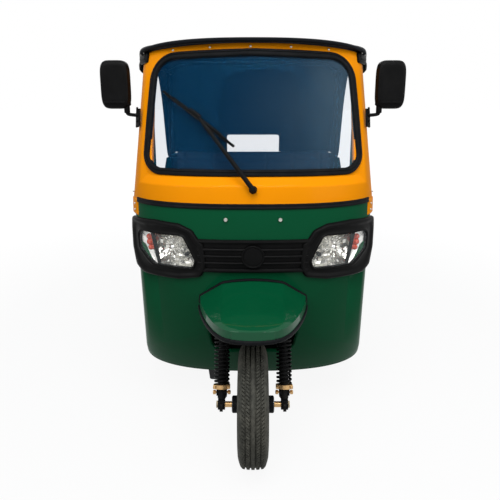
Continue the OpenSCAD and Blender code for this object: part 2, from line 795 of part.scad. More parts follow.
// Floor and chassis
rail_room = 295;
rail_x = rear_track / 2 - rail_room;
rail_w = 50;
rail_front_s = 400;
kick_ahead = 285;
kick_s = wheelbase - kick_ahead;
kick_run = 90;
kick_rise = 90;
rail_rear_gap = 30;
sill_t = 30;
floor_inset = 65;
floor_lap = 30;
door_step = 190;
floor_front_half = cowl_w / 2 - floor_inset;
floor_rear_half = half_w - sill_t * 3 / 2 - seat;
floor_rear_s = quarter_s + floor_lap;
sill_s = cowl_s + cowl_depth + door_step;
module floor_pan() {
  z = chassis_z + rail_h;
  color("#2c2f31")
    difference() {
      translate([0, 0, z])
        linear_extrude(floor_t)
          polygon([[-floor_front_half, at(cowl_s)], [floor_front_half, at(cowl_s)], [floor_front_half, at(sill_s)],
            [floor_rear_half, at(quarter_s)], [floor_rear_half, at(floor_rear_s)],
            [-floor_rear_half, at(floor_rear_s)], [-floor_rear_half, at(quarter_s)], [-floor_front_half, at(sill_s)]]);
      skin_sheet(slice(cowl_heights, 0, 2), cowl_angles, cowl_w / 2, -cowl_wall - seat);
    }
}

module side_sills() {
  color("#0b5a35")
    both_sides()
      translate([0, 0, cowl_bottom_z])
        linear_extrude(floor_top_z - cowl_bottom_z)
          polygon([[floor_front_half + seat, at(sill_s)], [floor_front_half + sill_t, at(sill_s)],
            [half_w - sill_t / 2, at(quarter_s) - seat], [half_w - sill_t * 3 / 2, at(quarter_s) - seat]]);
}

cross_gap = 60;
cross_stations = [sill_s - rail_w, post_s, kick_s - cross_gap];
drive_half = 130;
module chassis_frame() {
  rear = tail_y - panel_t - rail_rear_gap;
  low = chassis_z;
  high = chassis_z + rail_h;
  color("#242628") {
    both_sides()
      side_prism(rail_x - rail_w / 2, rail_x + rail_w / 2)
        polygon([[at(rail_front_s), low], [at(kick_s), low], [at(kick_s + kick_run), low + kick_rise],
          [rear, low + kick_rise], [rear, high + kick_rise], [at(kick_s + kick_run), high + kick_rise],
          [at(kick_s), high], [at(rail_front_s), high]]);
    for (s = cross_stations)
      block([-rail_x, at(s) - rail_w / 2, low], [rail_x, at(s) + rail_w / 2, high]);
    for (k = [-1, 1])
      translate([0, rear_axle_y + k * (drive_half + rail_w / 2 + seat), low + kick_rise + rail_h / 2])
        cube([2 * rail_x, rail_w, rail_h], center = true);
  }
}

// Front wheel housing behind the fork opening, with the steering head tube
housing_half = 225;
housing_back_s = 440;
housing_top_z = 712;
housing_t = 10;
head_od = 60;
head_lap = 2;
steerer_d = 32;
head_low = 400;
head_high = 620;
module on_steering(a) {
  translate([0, at(steer_offset), tyre_r])
    rotate([-rake, 0, 0])
      translate([0, 0, a])
        children();
}

module wheel_housing() {
  color("#17191a") {
    difference() {
      block([-housing_half, at(0), floor_top_z], [housing_half, at(housing_back_s), housing_top_z]);
      block([housing_t - housing_half, at(0) - over, floor_top_z - over],
        [housing_half - housing_t, at(housing_back_s) - housing_t, housing_top_z - housing_t]);
      skin_sheet(slice(cowl_heights, 0, 8), nose_angles, cowl_w / 2, -cowl_wall - seat);
      on_steering(head_low)
        cylinder(h = head_high - head_low, d = head_od - head_lap);
    }
    on_steering(head_low)
      difference() {
        cylinder(h = head_high - head_low, d = head_od);
        translate([0, 0, -over])
          cylinder(h = head_high - head_low + 2 * over, d = steerer_d + 2 * play);
      }
  }
}

dash_depth = 46;
module dashboard() {
  color("#1a1b1d")
    skin_sheet(slice(frame_heights, 0, 1), slice(pillar_angles, 2, 20), -cowl_wall - seat, -cowl_wall - dash_depth);
}

// Driver's seat
driver_share = 0.363;
driver_post_gap = 7;
driver_s = wheelbase * driver_share;
driver_depth = post_s - tube_d / 2 - driver_post_gap - driver_s;
driver_base_inset = 30;
driver_cushion_t = 100;
driver_back_t = 70;
driver_back_z = 960;
driver_cushion_r = 26;
driver_back_r = 24;
base_t = 8;
function pad_outline(s0, s1, z0, z1, r) =
  rounded([[at(s0), z0], [at(s1), z0], [at(s1), z1], [at(s0), z1]], [r, r, r, r]);
module driver_seat_base() {
  w = driver_w / 2 - driver_base_inset;
  color("#2a2c2e")
    difference() {
      block([-w, at(driver_s + driver_base_inset), floor_top_z],
        [w, at(driver_s + driver_depth) - driver_base_inset, driver_z]);
      block([base_t - w, at(driver_s + driver_base_inset) + base_t, floor_top_z - over],
        [w - base_t, at(driver_s + driver_depth) - driver_base_inset - base_t, driver_z - base_t]);
    }
}

module driver_seat_cushion() {
  color("#1d1d20")
    side_prism(-driver_w / 2, driver_w / 2)
      polygon(pad_outline(driver_s, driver_s + driver_depth, driver_z + seat, driver_z + driver_cushion_t,
        driver_cushion_r));
}

module driver_seat_back() {
  s1 = post_s - tube_d / 2 - seat;
  color("#1d1d20")
    side_prism(-driver_w / 2, driver_w / 2)
      polygon(pad_outline(s1 - driver_back_t, s1, driver_z + driver_cushion_t + 2 * seat, driver_back_z,
        driver_back_r));
}

// Passenger seat
seat_w = overall_width - 2 * seat_inset;
bench_ahead = 565;
bench_s = wheelbase - bench_ahead;
bench_room = 135;
bench_half = rear_track / 2 - bench_room;
bulkhead_behind = 5;
bulkhead_s = wheelbase + bulkhead_behind;
bulkhead_t = 16;
cushion_back_gap = 100;
cushion_lap = 10;
cushion_r = 34;
module passenger_seat_base() {
  color("#1c1f21")
    difference() {
      block([-bench_half, at(bench_s), floor_top_z], [bench_half, at(bulkhead_s) - seat, seat_z]);
      block([base_t - bench_half, at(bench_s) + base_t, floor_top_z - over],
        [bench_half - base_t, at(bulkhead_s) + over, seat_z - base_t]);
      both_sides()
        block([rail_x - rail_w, at(pivot_s) - rail_w, floor_top_z - over],
          [bench_half + over, at(bulkhead_s) + over, floor_top_z + kick_rise]);
    }
}

module passenger_seat_cushion() {
  color("#202024")
    side_prism(-seat_w / 2, seat_w / 2)
      polygon(pad_outline(bench_s - cushion_lap, bulkhead_s - cushion_back_gap, seat_z + seat, seat_z + cushion_t,
        cushion_r));
}

backrest_t = 120;
backrest_top_t = 70;
// Corner radii of the backrest's side view, in order from the lower front
backrest_radii = [20, 20, 24, 30];
module passenger_seat_back() {
  s1 = bulkhead_s - seat;
  z0 = seat_z + cushion_t + seat;
  color("#202024")
    side_prism(-seat_w / 2, seat_w / 2)
      polygon(rounded(
        [[at(s1 - backrest_t), z0], [at(s1), z0], [at(s1), backrest_z], [at(s1 - backrest_top_t), backrest_z]],
        backrest_radii));
}

// Inner rear body: bulkhead, shelf and wheel houses inside panels that lean inwards towards the top
tumble = 18;
tail_room = 30;
tail_half = half_w - tub_corner_r - tail_room;
function tub_half(z) = half_w - tumble * pow(max(0, (z - tub_bottom_z) / (tub_top_z - tub_bottom_z)), 2);
arch_gap = 38;
arch_r = tyre_r + arch_gap;
house_t = 8;
house_room = 10;
inner_gap = 20;
house_half = bench_half + house_room;
house_gap = 3;
house_low_z = tyre_r + 2 * rail_h;
house_end = tub_half(tyre_r + arch_r) - panel_t - house_gap;
module rear_inner_body() {
  top = tub_top_z - seat;
  inner = half_w - panel_t - inner_gap;
  color("#1c1f21") {
    front_prism(at(bulkhead_s), at(bulkhead_s + bulkhead_t))
      polygon([[-bench_half, tub_bottom_z + rail_h + seat], [bench_half, tub_bottom_z + rail_h + seat],
        [bench_half, tyre_r + arch_r + house_t + seat], [inner, tyre_r + arch_r + house_t + seat], [inner, top],
        [-inner, top], [-inner, tyre_r + arch_r + house_t + seat], [-bench_half, tyre_r + arch_r + house_t + seat]]);
    translate([0, 0, top - bulkhead_t])
      linear_extrude(bulkhead_t)
        polygon([[-inner, at(bulkhead_s)], [inner, at(bulkhead_s)], [inner, tail_y - tub_corner_r],
          [tail_half, tail_y - panel_t - seat], [-tail_half, tail_y - panel_t - seat], [-inner, tail_y - tub_corner_r]]);
    both_sides()
      intersection() {
        difference() {
          across(house_half, house_end, rear_axle_y, tyre_r, 2 * (arch_r + house_t));
          across(house_half + house_t, half_w, rear_axle_y, tyre_r, 2 * arch_r);
        }
        block([0, at(quarter_s), house_low_z], [half_w, tail_y, tub_top_z]);
      }
  }
}

// Rear body panels: plan path of one quarter, narrower towards the top
tub_heights = spread(tub_bottom_z, tub_top_z, 6);
function quarter_path(z, inset) =
  let (w = tub_half(z) - inset, r = tub_corner_r - inset, c = tub_half(z) - tub_corner_r)
  concat(
    [for (k = [0:4]) [w, mix(at(quarter_s), tail_y - tub_corner_r, k / 4), z]],
    [for (a = [15:15:90]) [c + r * cos(a), tail_y - tub_corner_r + r * sin(a), z]],
    [[tail_half, tail_y - inset, z]]);
// columns: station share, height share of the quarter panel's side outline
quarter_shares = [[0, 0], [0, 0.36], [0.18, 0.62], [0.44, 0.84], [0.56, 1.01], [1.1, 1.01], [1.1, 0.1], [0.85, 0.1],
  [0.84, 0]];
module quarter_panel() {
  depth = tail_y - at(quarter_s);
  difference() {
    intersection() {
      sheet([for (z = tub_heights) quarter_path(z, panel_t)], [for (z = tub_heights) quarter_path(z, 0)]);
      side_prism(0, half_w + over)
        polygon([for (p = quarter_shares)
          [at(quarter_s) + p[0] * depth, mix(tub_bottom_z - over / 2, tub_top_z, p[1])]]);
    }
    across(0, half_w + over, rear_axle_y, tyre_r, 2 * arch_r);
  }
}

module quarter_panel_left() {
  color("#0b5a35")
    quarter_panel();
}

module quarter_panel_right() {
  color("#0b5a35")
    mirror([1, 0, 0])
      quarter_panel();
}

tail_low_z = 358;
hatch_side = 150;
hatch_half = tail_half - hatch_side;
hatch_low_z = 470;
hatch_high_z = 925;
hinge_share = 22 / 35;
hinge_x = hatch_half * hinge_share;
hinge_l = 36;
hinge_d = 16;
hinge_pin_d = 8;
hinge_off = 2;
hinge_lift = 3;
hinge_y = tail_y + hinge_d / 2 + hinge_off;
hinge_z = hatch_high_z + hinge_d / 2 + hinge_lift;
module tail_panel() {
  half = tail_half - seat;
  color("#0b5a35") {
    difference() {
      block([-half, tail_y - panel_t, tail_low_z], [half, tail_y, tub_top_z]);
      block([-hatch_half, tail_y - panel_t - over, hatch_low_z], [hatch_half, tail_y + over, hatch_high_z]);
    }
    both_sides() {
      across(hinge_x - hinge_l, hinge_x + hinge_l, hinge_y, hinge_z, hinge_pin_d);
      for (k = [-1, 1])
        translate([hinge_x + k * hinge_l * 3 / 4, 0, 0]) {
          across(-hinge_l / 4, hinge_l / 4, hinge_y, hinge_z, hinge_d);
          block([-hinge_l / 4, tail_y - seat, hinge_z], [hinge_l / 4, hinge_y, hinge_z + hinge_d]);
        }
    }
  }
}

// Pressed field of the hatch and its pull handle
field_inset = 58;
field_deep = 6;
field_r = 30;
handle_w = 130;
handle_t = 16;
handle_off = 22;
handle_z = 560;
module rear_hatch() {
  g = hatch_gap;
  arm = hinge_l / 2 - hinge_off;
  x = hatch_half - g - field_inset;
  low = hatch_low_z + g + field_inset;
  high = hatch_high_z - g - field_inset;
  color("#0b5a35") {
    difference() {
      block([g - hatch_half, tail_y - panel_t, hatch_low_z + g], [hatch_half - g, tail_y, hatch_high_z - g]);
      front_prism(tail_y - field_deep, tail_y + over)
        polygon(rounded([[-x, low], [x, low], [x, high], [-x, high]], [field_r, field_r, field_r, field_r]));
    }
    across(-handle_w / 2, handle_w / 2, tail_y + handle_off, handle_z, handle_t);
    for (k = [-1, 1])
      front_prism(tail_y - panel_t / 2, tail_y + handle_off)
        translate([k * (handle_w - handle_t) / 2, handle_z])
          circle(d = handle_t);
    both_sides()
      difference() {
        union() {
          across(hinge_x - arm, hinge_x + arm, hinge_y, hinge_z, hinge_d);
          block([hinge_x - arm, tail_y - panel_t / 4, hinge_z - 2 * hinge_d],
            [hinge_x + arm, hinge_y + hinge_d / 4, hatch_high_z - g]);
          block([hinge_x - arm, tail_y + hinge_d / 8, hinge_z - hinge_d - g],
            [hinge_x + arm, hinge_y + hinge_d / 4, hinge_z]);
        }
        across(hinge_x - hinge_l, hinge_x + hinge_l, hinge_y, hinge_z, hinge_pin_d + 2 * play);
      }
  }
}

tail_lamp_w = 84;
tail_lamp_h = 190;
tail_lamp_t = 26;
tail_lamp_z = 790;
tail_lamp_r = 14;
module tail_lamps() {
  x = (hatch_half + tail_half) / 2;
  r = tail_lamp_r;
  color("#a01818")
    both_sides()
      front_prism(tail_y + seat, tail_y + seat + tail_lamp_t)
        polygon(rounded(
          [[x - tail_lamp_w / 2, tail_lamp_z - tail_lamp_h / 2], [x + tail_lamp_w / 2, tail_lamp_z - tail_lamp_h / 2],
           [x + tail_lamp_w / 2, tail_lamp_z + tail_lamp_h / 2], [x - tail_lamp_w / 2, tail_lamp_z + tail_lamp_h / 2]],
          [r, r, r, r]));
}

bumper_d = 42;
bumper_z = 330;
bumper_inset = 180;
bumper_half = half_w - bumper_inset;
bumper_end = 60;
tow_eye_d = 24;
tow_eye_t = 16;
module rear_bumper() {
  y = overall_length / 2 - bumper_d / 2;
  rear = tail_y - panel_t - rail_rear_gap;
  z = chassis_z + kick_rise + rail_h / 2;
  color("#1f2123") {
    bar([[-bumper_half - bumper_end, y - bumper_end, bumper_z], [-bumper_half, y, bumper_z],
      [bumper_half, y, bumper_z], [bumper_half + bumper_end, y - bumper_end, bumper_z]], bumper_d, [0, 0, 1]);
    both_sides()
      block([rail_x - rail_w / 4, rear + seat, z - rail_h / 4], [rail_x + rail_w / 4, y, z + rail_h / 4]);
    difference() {
      block([-tow_eye_d, y - tow_eye_d * 3, bumper_z - tow_eye_t / 2], [tow_eye_d, y, bumper_z + tow_eye_t / 2]);
      translate([0, y - tow_eye_d * 3 / 2 - tow_eye_d / 4, bumper_z - over])
        cylinder(h = 2 * over, d = tow_eye_d);
    }
  }
}

// Battery and drive
battery_half = 220;
battery_ahead = 535;
battery_s = wheelbase - battery_ahead;
battery_l = 280;
battery_h = 260;
battery_low_z = chassis_z + rail_h + seat;
module battery_pack() {
  color("#3a4a5a")
    block([-battery_half, at(battery_s), battery_low_z], [battery_half, at(battery_s + battery_l), battery_low_z + battery_h]);
}

drive_share = 0.6275;
drive_w = (2 * rail_x - rail_w) * drive_share;
drive_low = 100;
output_d = 70;
module drive_unit() {
  color("#8a8d90") {
    block([-drive_w / 2, rear_axle_y - drive_half, tyre_r - drive_low],
      [drive_w / 2, rear_axle_y + drive_half, chassis_z + kick_rise + rail_h]);
    across(-drive_w / 2 - over, drive_w / 2 + over, rear_axle_y, tyre_r, output_d);
  }
}

arm_room = 149;
arm_x = rear_track / 2 - arm_room;
arm_w = 44;
arm_h = 46;
pivot_ahead = 365;
pivot_s = wheelbase - pivot_ahead;
pivot_d = 26;
carrier_d = 92;
carrier_w = 80;
module trailing_arms() {
  z0 = chassis_z + rail_h / 2;
  color("#2a2c2e")
    both_sides()
      difference() {
        union() {
          side_prism(arm_x - arm_w / 2, arm_x + arm_w / 2)
            polygon([[at(pivot_s), z0 - arm_h / 2], [rear_axle_y, tyre_r - arm_h / 2],
              [rear_axle_y, tyre_r + arm_h / 2], [at(pivot_s), z0 + arm_h / 2]]);
          across(rail_x + rail_w / 2 + seat, arm_x + arm_w / 2, at(pivot_s), z0, pivot_d);
          across(arm_x - arm_w / 2, arm_x + arm_w / 2, at(pivot_s), z0, arm_h);
          across(arm_x - carrier_w / 2, arm_x + carrier_w / 2, rear_axle_y, tyre_r, carrier_d);
        }
        across(arm_x - carrier_w, arm_x + carrier_w, rear_axle_y, tyre_r, half_shaft_d + 2 * play);
      }
}

rear_shock_d = 54;
shock_foot_ahead = 105;
shock_head_ahead = 185;
rear_shock_s = wheelbase - shock_foot_ahead;
shock_top_s = wheelbase - shock_head_ahead;
shock_top_z = 540;
// Ends of the shock's sleeve as shares of its length
shock_sleeve_shares = [0.26, 0.91];
module rear_shocks() {
  low = [arm_x - arm_w / 2, at(rear_shock_s), tyre_r];
  high = [arm_x - arm_w / 2, at(shock_top_s), shock_top_z];
  pivot_z = chassis_z + rail_h / 2;
  color("#26282a") {
    both_sides()
      difference() {
        union() {
          rod(low, high, rear_shock_d / 2);
          rod(mix(low, high, shock_sleeve_shares[0]), mix(low, high, shock_sleeve_shares[1]), rear_shock_d);
        }
        side_prism(0, half_w)
          polygon([[at(pivot_s), 0], [rear_axle_y, 0], [rear_axle_y, tyre_r + arm_h / 2 + seat],
            [at(pivot_s), pivot_z + arm_h / 2 + seat]]);
      }
    across(-arm_x, arm_x, at(shock_top_s), shock_top_z, tube_d);
  }
}

// Rubber flaps behind the rear wheels
flap_w = 130;
flap_t = 5;
flap_low_z = 110;
module mud_flaps() {
  y = rear_axle_y + sqrt(pow(arch_r, 2) - pow(2 * rail_h, 2)) + (house_t - flap_t) / 2;
  color("#161616")
    both_sides()
      block([house_end - flap_w, y, flap_low_z], [house_end, y + flap_t, house_low_z - seat]);
}

// Splash flap that hangs from the cowl's lower edge beside the front wheel
splash_w = 66;
splash_x = -178;
splash_low_z = 85;
splash_r = 10;
module splash_flap() {
  top = chassis_z + rail_h - flap_t;
  color("#161616")
    intersection() {
      skin_sheet([splash_low_z - over, cowl_bottom_z, top + over], nose_angles, -cowl_wall - seat, -cowl_wall - flap_t);
      front_prism(at(0), at(cowl_s + cowl_depth * 2))
        polygon(rounded(
          [[splash_x - splash_w / 2, splash_low_z], [splash_x + splash_w / 2, splash_low_z],
           [splash_x + splash_w / 2, top], [splash_x - splash_w / 2, top]],
          [splash_r, splash_r, splash_r, splash_r]));
    }
}

// Fork, seen along the steering axis: crown, legs behind the spring legs, leading links
crown_a = 342;
crown_t = 42;
crown_half = 160;
leg_back = 46;
leg_ahead = 20;
leg_d = 34;
crown_r = 24;
steerer_top = 690;
link_t = 12;
link_h = 34;
link_r = 12;
function leg_foot(b) = let (y = at(steer_offset) + b / cos(rake)) [leg_x, y, tyre_r];
module fork() {
  color("#17181a") {
    on_steering(crown_a)
      linear_extrude(crown_t)
        polygon(rounded(
          [[-crown_half, -leg_ahead - spring_d / 2], [crown_half, -leg_ahead - spring_d / 2],
           [crown_half, leg_back + leg_d / 2], [-crown_half, leg_back + leg_d / 2]],
          [crown_r, crown_r, crown_r, crown_r]));
    on_steering(crown_a)
      cylinder(h = steerer_top - crown_a, d = steerer_d);
    both_sides() {
      on_steering(0)
        translate([leg_x, leg_back, 0])
          cylinder(h = crown_a + crown_t / 2, d = leg_d);
      difference() {
        side_prism(leg_x - link_t / 2, leg_x + link_t / 2)
          polygon(rounded(
            [[at(0) - link_h, tyre_r - link_h / 2], [at(steer_offset) + leg_back + link_h, tyre_r - link_h / 2],
             [at(steer_offset) + leg_back + link_h, tyre_r + link_h / 2], [at(0) - link_h, tyre_r + link_h / 2]],
            [link_r, link_r, link_r, link_r]));
        across(0, 2 * leg_x, at(0), tyre_r, front_axle_d + 2 * play);
      }
    }
  }
}

axle_nut_d = 30;
axle_nut_t = 14;
module front_axle() {
  color("#8d8f92") {
    across(-leg_x - link_t / 2 - axle_nut_t, leg_x + link_t / 2 + axle_nut_t, at(0), tyre_r, front_axle_d);
    both_sides()
      translate([leg_x + link_t / 2 + seat, at(0), tyre_r])
        rotate([0, 90, 0])
          cylinder(h = axle_nut_t, d = axle_nut_d, $fn = 6);
  }
}

// Dampers and coil springs on the steering axis's slope
damper_d = 34;
rod_d = 14;
spring_low = 62;
spring_seat_t = 8;
spring_rim = 4;
spring_steps = 10;
module front_shocks() {
  color("#141516")
    both_sides()
      difference() {
        on_steering(0)
          translate([leg_x, -leg_ahead, 0]) {
            cylinder(h = (crown_a + spring_low) / 2, d = damper_d);
            cylinder(h = crown_a - seat, d = rod_d);
            translate([0, 0, crown_a - spring_seat_t - seat])
              cylinder(h = spring_seat_t, d = spring_d + spring_rim);
          }
        block([0, at(-spring_d), 0], [2 * leg_x, at(2 * spring_d), tyre_r + link_h / 2 + seat]);
      }
}

// Clamp rings under the springs
module shock_clamps() {
  color("#a9793a")
    both_sides()
      on_steering(spring_low - 2 * spring_seat_t)
        translate([leg_x, -leg_ahead, 0])
          difference() {
            cylinder(h = 2 * spring_seat_t, d = spring_d + spring_rim);
            translate([0, 0, -over])
              cylinder(h = 2 * spring_seat_t + 2 * over, d = damper_d + 2 * seat);
          }
}

module front_springs() {
  low = spring_low + spring_wire_d / 2 + seat;
  high = crown_a - spring_seat_t - spring_wire_d / 2 - 2 * seat;
  r = (spring_d - spring_wire_d) / 2;
  steps = spring_turns * spring_steps;
  color("#111214")
    both_sides()
      on_steering(0)
        translate([leg_x, -leg_ahead, 0])
          rings([for (i = [0:steps])
            let (a = 360 * spring_turns * i / steps, z = mix(low, high, i / steps))
            [for (b = [0:72:288])
              let (q = r + spring_wire_d / 2 * cos(b)) [q * cos(a), q * sin(a), z + spring_wire_d / 2 * sin(b)]]]);
}

// Handlebar on the steerer
bar_d = 24;
clamp_d = 58;
grip_d = 34;
grip_share = 0.3;
bar_rise = 22;
bar_half = 290;
bar_back = 175;
pod_d = 120;
pod_t = 70;
pod_lean = 50;
module handlebar() {
  a = steerer_top + bar_d;
  elbow = [bar_half / 2, bar_back / 3, a + bar_rise];
  tip = [bar_half, bar_back, a + bar_rise];
  color("#1b1c1e")
    on_steering(0) {
      translate([0, 0, steerer_top + seat])
        cylinder(h = 2 * bar_d, d = clamp_d);
      bar([tip - [2 * bar_half, 0, 0], elbow - [bar_half, 0, 0], [0, 0, a], elbow, tip], bar_d, [0, 0, 1]);
      both_sides()
        rod(mix(elbow, tip, grip_share), tip + (tip - elbow) / norm(tip - elbow), grip_d);
      translate([0, bar_d, a])
        rotate([-pod_lean, 0, 0])
          cylinder(h = pod_t, d = pod_d);
    }
}

// Tyre and wheel, each on its own axis along X at the middle of the tyre
bead_w = 84;
tread_share = 0.74;
belly_share = 0.52;
// Corner radii of the tyre's section, in order from one bead to the other
tyre_radii = [2, 3, 30, 10, 4, 4, 10, 30, 3, 2];
groove_w = 5;
groove_deep = 6;
groove_shares = [-0.6, -0.2, 0.2, 0.6];
module tyre_ring() {
  half = tyre_w / 2;
  tread = half * tread_share;
  belly = mix(rim_d / 2, tyre_r, belly_share);
  lip = rim_d / 2 + rim_flange + 2 * seat;
  outline = [[rim_d / 2, -bead_w / 2], [lip, -bead_w / 2], [belly, -half],
    [tyre_r - groove_deep, -tread - groove_w], [tyre_r, -tread], [tyre_r, tread],
    [tyre_r - groove_deep, tread + groove_w], [belly, half], [lip, bead_w / 2], [rim_d / 2, bead_w / 2]];
  rotate([0, 90, 0])
    rotate_extrude()
      difference() {
        polygon(rounded(outline, tyre_radii));
        for (k = groove_shares)
          translate([tyre_r - groove_deep, tread * k - groove_w / 2])
            square([over, groove_w]);
      }
}

module front_tyre() {
  color("#151515")
    translate([0, at(0), tyre_r])
      tyre_ring();
}

module rear_tyre_left() {
  color("#151515")
    translate([rear_track / 2, rear_axle_y, tyre_r])
      tyre_ring();
}

module rear_tyre_right() {
  color("#151515")
    translate([-rear_track / 2, rear_axle_y, tyre_r])
      tyre_ring();
}

// Pressed steel wheel: rim channel, dished disc with holes, hub and drum
rim_t = 5;
rim_flange = 12;
disc_dish = 22;
hub_d = 64;
vent_d = 26;
vents = 8;
// Radius shares of the disc's flat on its outside and inside, and of the vents
disc_shares = [0.62, 0.60, 0.76];
module wheel_disc(hub_half, bore_d) {
  seat_r = rim_d / 2 - seat;
  w = bead_w / 2 + rim_t;
  rotate([0, 90, 0])
    difference() {
      union() {
        rotate_extrude()
          polygon([[seat_r - rim_t, -w], [seat_r + rim_flange, -w], [seat_r + rim_flange, -w + rim_t - seat],
            [seat_r, -w + rim_t - seat], [seat_r, w - rim_t + seat], [seat_r + rim_flange, w - rim_t + seat],
            [seat_r + rim_flange, w], [seat_r - rim_t, w]]);
        rotate_extrude()
          polygon([[0, disc_dish], [hub_d / 2, disc_dish], [seat_r * disc_shares[0], disc_dish], [seat_r - rim_t / 2, 0],
            [seat_r - rim_t / 2, -rim_t], [seat_r * disc_shares[1], disc_dish - rim_t], [0, disc_dish - rim_t]]);
        translate([0, 0, -hub_half])
          cylinder(h = 2 * hub_half, d = hub_d);
      }
      translate([0, 0, -2 * hub_half])
        cylinder(h = 4 * hub_half, d = bore_d);
      for (i = [0:vents - 1])
        rotate([0, 0, 360 / vents * i])
          translate([seat_r * disc_shares[2], 0, -over])
            cylinder(h = 4 * over, d = vent_d);
    }
}

hub_gap = 6;
module front_wheel() {
  color("#b9bcc0")
    translate([0, at(0), tyre_r])
      wheel_disc(leg_x - link_t / 2 - spring_d / 2 - hub_gap, front_axle_d + 2 * play);
}

rear_hub_half = 50;
module rear_wheel() {
  end = drive_w / 2 + over + seat;
  translate([rear_track / 2, rear_axle_y, tyre_r]) {
    wheel_disc(rear_hub_half, half_shaft_d);
    rotate([0, 90, 0])
      translate([0, 0, end - rear_track / 2])
        cylinder(h = rear_track / 2 - end + rear_hub_half, d = half_shaft_d);
  }
}

module rear_wheel_left() {
  color("#b9bcc0")
    rear_wheel();
}

module rear_wheel_right() {
  color("#b9bcc0")
    mirror([1, 0, 0])
      rear_wheel();
}

front_cowl();
windscreen_frame();
belt_strip();
windscreen_gasket();
windscreen_glass();
wiper();
lamp_mask();
headlamp_bowls();
headlamp_lenses();
plate_studs();
mudguard();
mirrors();
hood();
hood_back();
rear_window();
hood_frame();
hood_clamps();
cabin_posts();
floor_pan();
side_sills();
chassis_frame();
wheel_housing();
dashboard();
driver_seat_base();
driver_seat_cushion();
driver_seat_back();
passenger_seat_base();
passenger_seat_cushion();
passenger_seat_back();
rear_inner_body();
quarter_panel_left();
quarter_panel_right();
tail_panel();
rear_hatch();
tail_lamps();
rear_bumper();
battery_pack();
drive_unit();
trailing_arms();
rear_shocks();
mud_flaps();
splash_flap();
fork();
front_axle();
front_shocks();
shock_clamps();
front_springs();
handlebar();
front_tyre();
front_wheel();
rear_tyre_left();
rear_wheel_left();
rear_tyre_right();
rear_wheel_right();
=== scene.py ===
"""Looks of an enclosed passenger three-wheeler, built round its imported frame.

Sizes are in metres. X points to the vehicle's left, Y rearwards and Z up.
"""

import json
import math

import bmesh
import bpy
import numpy as np
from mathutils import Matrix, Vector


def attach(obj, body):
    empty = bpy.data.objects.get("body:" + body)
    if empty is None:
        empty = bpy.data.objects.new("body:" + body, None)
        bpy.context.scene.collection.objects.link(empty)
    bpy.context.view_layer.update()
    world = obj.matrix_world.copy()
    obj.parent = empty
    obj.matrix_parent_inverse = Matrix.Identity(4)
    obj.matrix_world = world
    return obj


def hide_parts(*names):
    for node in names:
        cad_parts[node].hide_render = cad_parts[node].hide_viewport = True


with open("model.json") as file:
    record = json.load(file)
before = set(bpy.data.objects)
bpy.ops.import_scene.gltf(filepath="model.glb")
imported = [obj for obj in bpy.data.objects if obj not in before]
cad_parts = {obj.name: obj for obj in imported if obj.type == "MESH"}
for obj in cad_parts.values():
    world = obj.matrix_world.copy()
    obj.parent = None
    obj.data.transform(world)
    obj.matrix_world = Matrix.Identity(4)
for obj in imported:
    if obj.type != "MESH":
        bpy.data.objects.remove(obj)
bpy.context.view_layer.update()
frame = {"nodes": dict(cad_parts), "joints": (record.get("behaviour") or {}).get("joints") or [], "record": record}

bl_info = {
    "name": "Passenger three-wheeler looks",
    "version": (1, 0, 0),
    "blender": (4, 5, 0),
    "location": "View3D > Sidebar > Three-wheeler",
    "description": "Dresses the packed frame of an enclosed passenger three-wheeler",
    "category": "Object",
}

JOINT = {j["name"]: j for j in frame["joints"]}
FRONT_AXLE = np.array(JOINT["front_wheel_spin"]["pos_m"])
REAR_AXLE = np.array(JOINT["rear_wheel_spin_left"]["pos_m"])
STEER_POINT = np.array(JOINT["steering"]["pos_m"])
STEER_AXIS = np.array(JOINT["steering"]["axis"])

# Front skin, the same formula as the frame's
COWL_HALF, COWL_DEPTH, PLAN_POWER = 0.535, 0.330, 2.5
NOSE_Y = FRONT_AXLE[1] + 0.150
COWL_LOW_Z, BULGE_Z, PROFILE_R = 0.180, 0.830, 1.200
BELT_Z, SILL_Z, SCREEN_LOW_Z, HEADER_Z = 1.010, 1.088, 1.122, 1.644
SCREEN_TOP_Z, SCREEN_LOW_HALF, SCREEN_TOP_HALF = 1.622, 0.465, 0.425
SILL_RUN, SCREEN_LEAN, HEADER_CROWN = 0.036, math.tan(math.radians(16.5)), 0.030
BULGE_SHARE, HEADER_SHARE, SKIRT_SHARE = 0.079, 0.93, 0.04
PILLAR_ANGLE = 15.5
COWL_WALL = 0.018
TYRE_R, TYRE_HALF = 0.2375, 0.059
MM = 0.001


# Shapes as arrays of points


def mix(a, b, t):
    """Straight mix from a at t 0 to b at t 1."""
    return a + (b - a) * t


def smooth(t):
    """Smooth step of t, flat at 0 and at 1."""
    t = np.clip(t, 0.0, 1.0)
    return t * t * (3.0 - 2.0 * t)


def power(v, e):
    """Power of the size of v that keeps its sign."""
    return np.sign(v) * np.abs(v) ** e


def curve_table(u, table):
    """Cubic through a table's rows at places u: Hermite spans with slopes from the neighbours."""
    table = np.asarray(table, float)
    k, v = table[:, 0], table[:, 1:]
    slope = np.gradient(v, k, axis=0)
    i = np.clip(np.searchsorted(k, u, side="right") - 1, 0, len(k) - 2)
    h = (k[i + 1] - k[i])[:, None]
    t = (np.asarray(u)[:, None] - k[i][:, None]) / h
    return (
        (2 * t**3 - 3 * t**2 + 1) * v[i]
        + (t**3 - 2 * t**2 + t) * h * slope[i]
        + (3 * t**2 - 2 * t**3) * v[i + 1]
        + (t**3 - t**2) * h * slope[i + 1]
    )


def rise_share(z):
    """Share of the way from the belt up to the header."""
    return np.clip((z - BELT_Z) / (HEADER_Z - BELT_Z), 0.0, None)


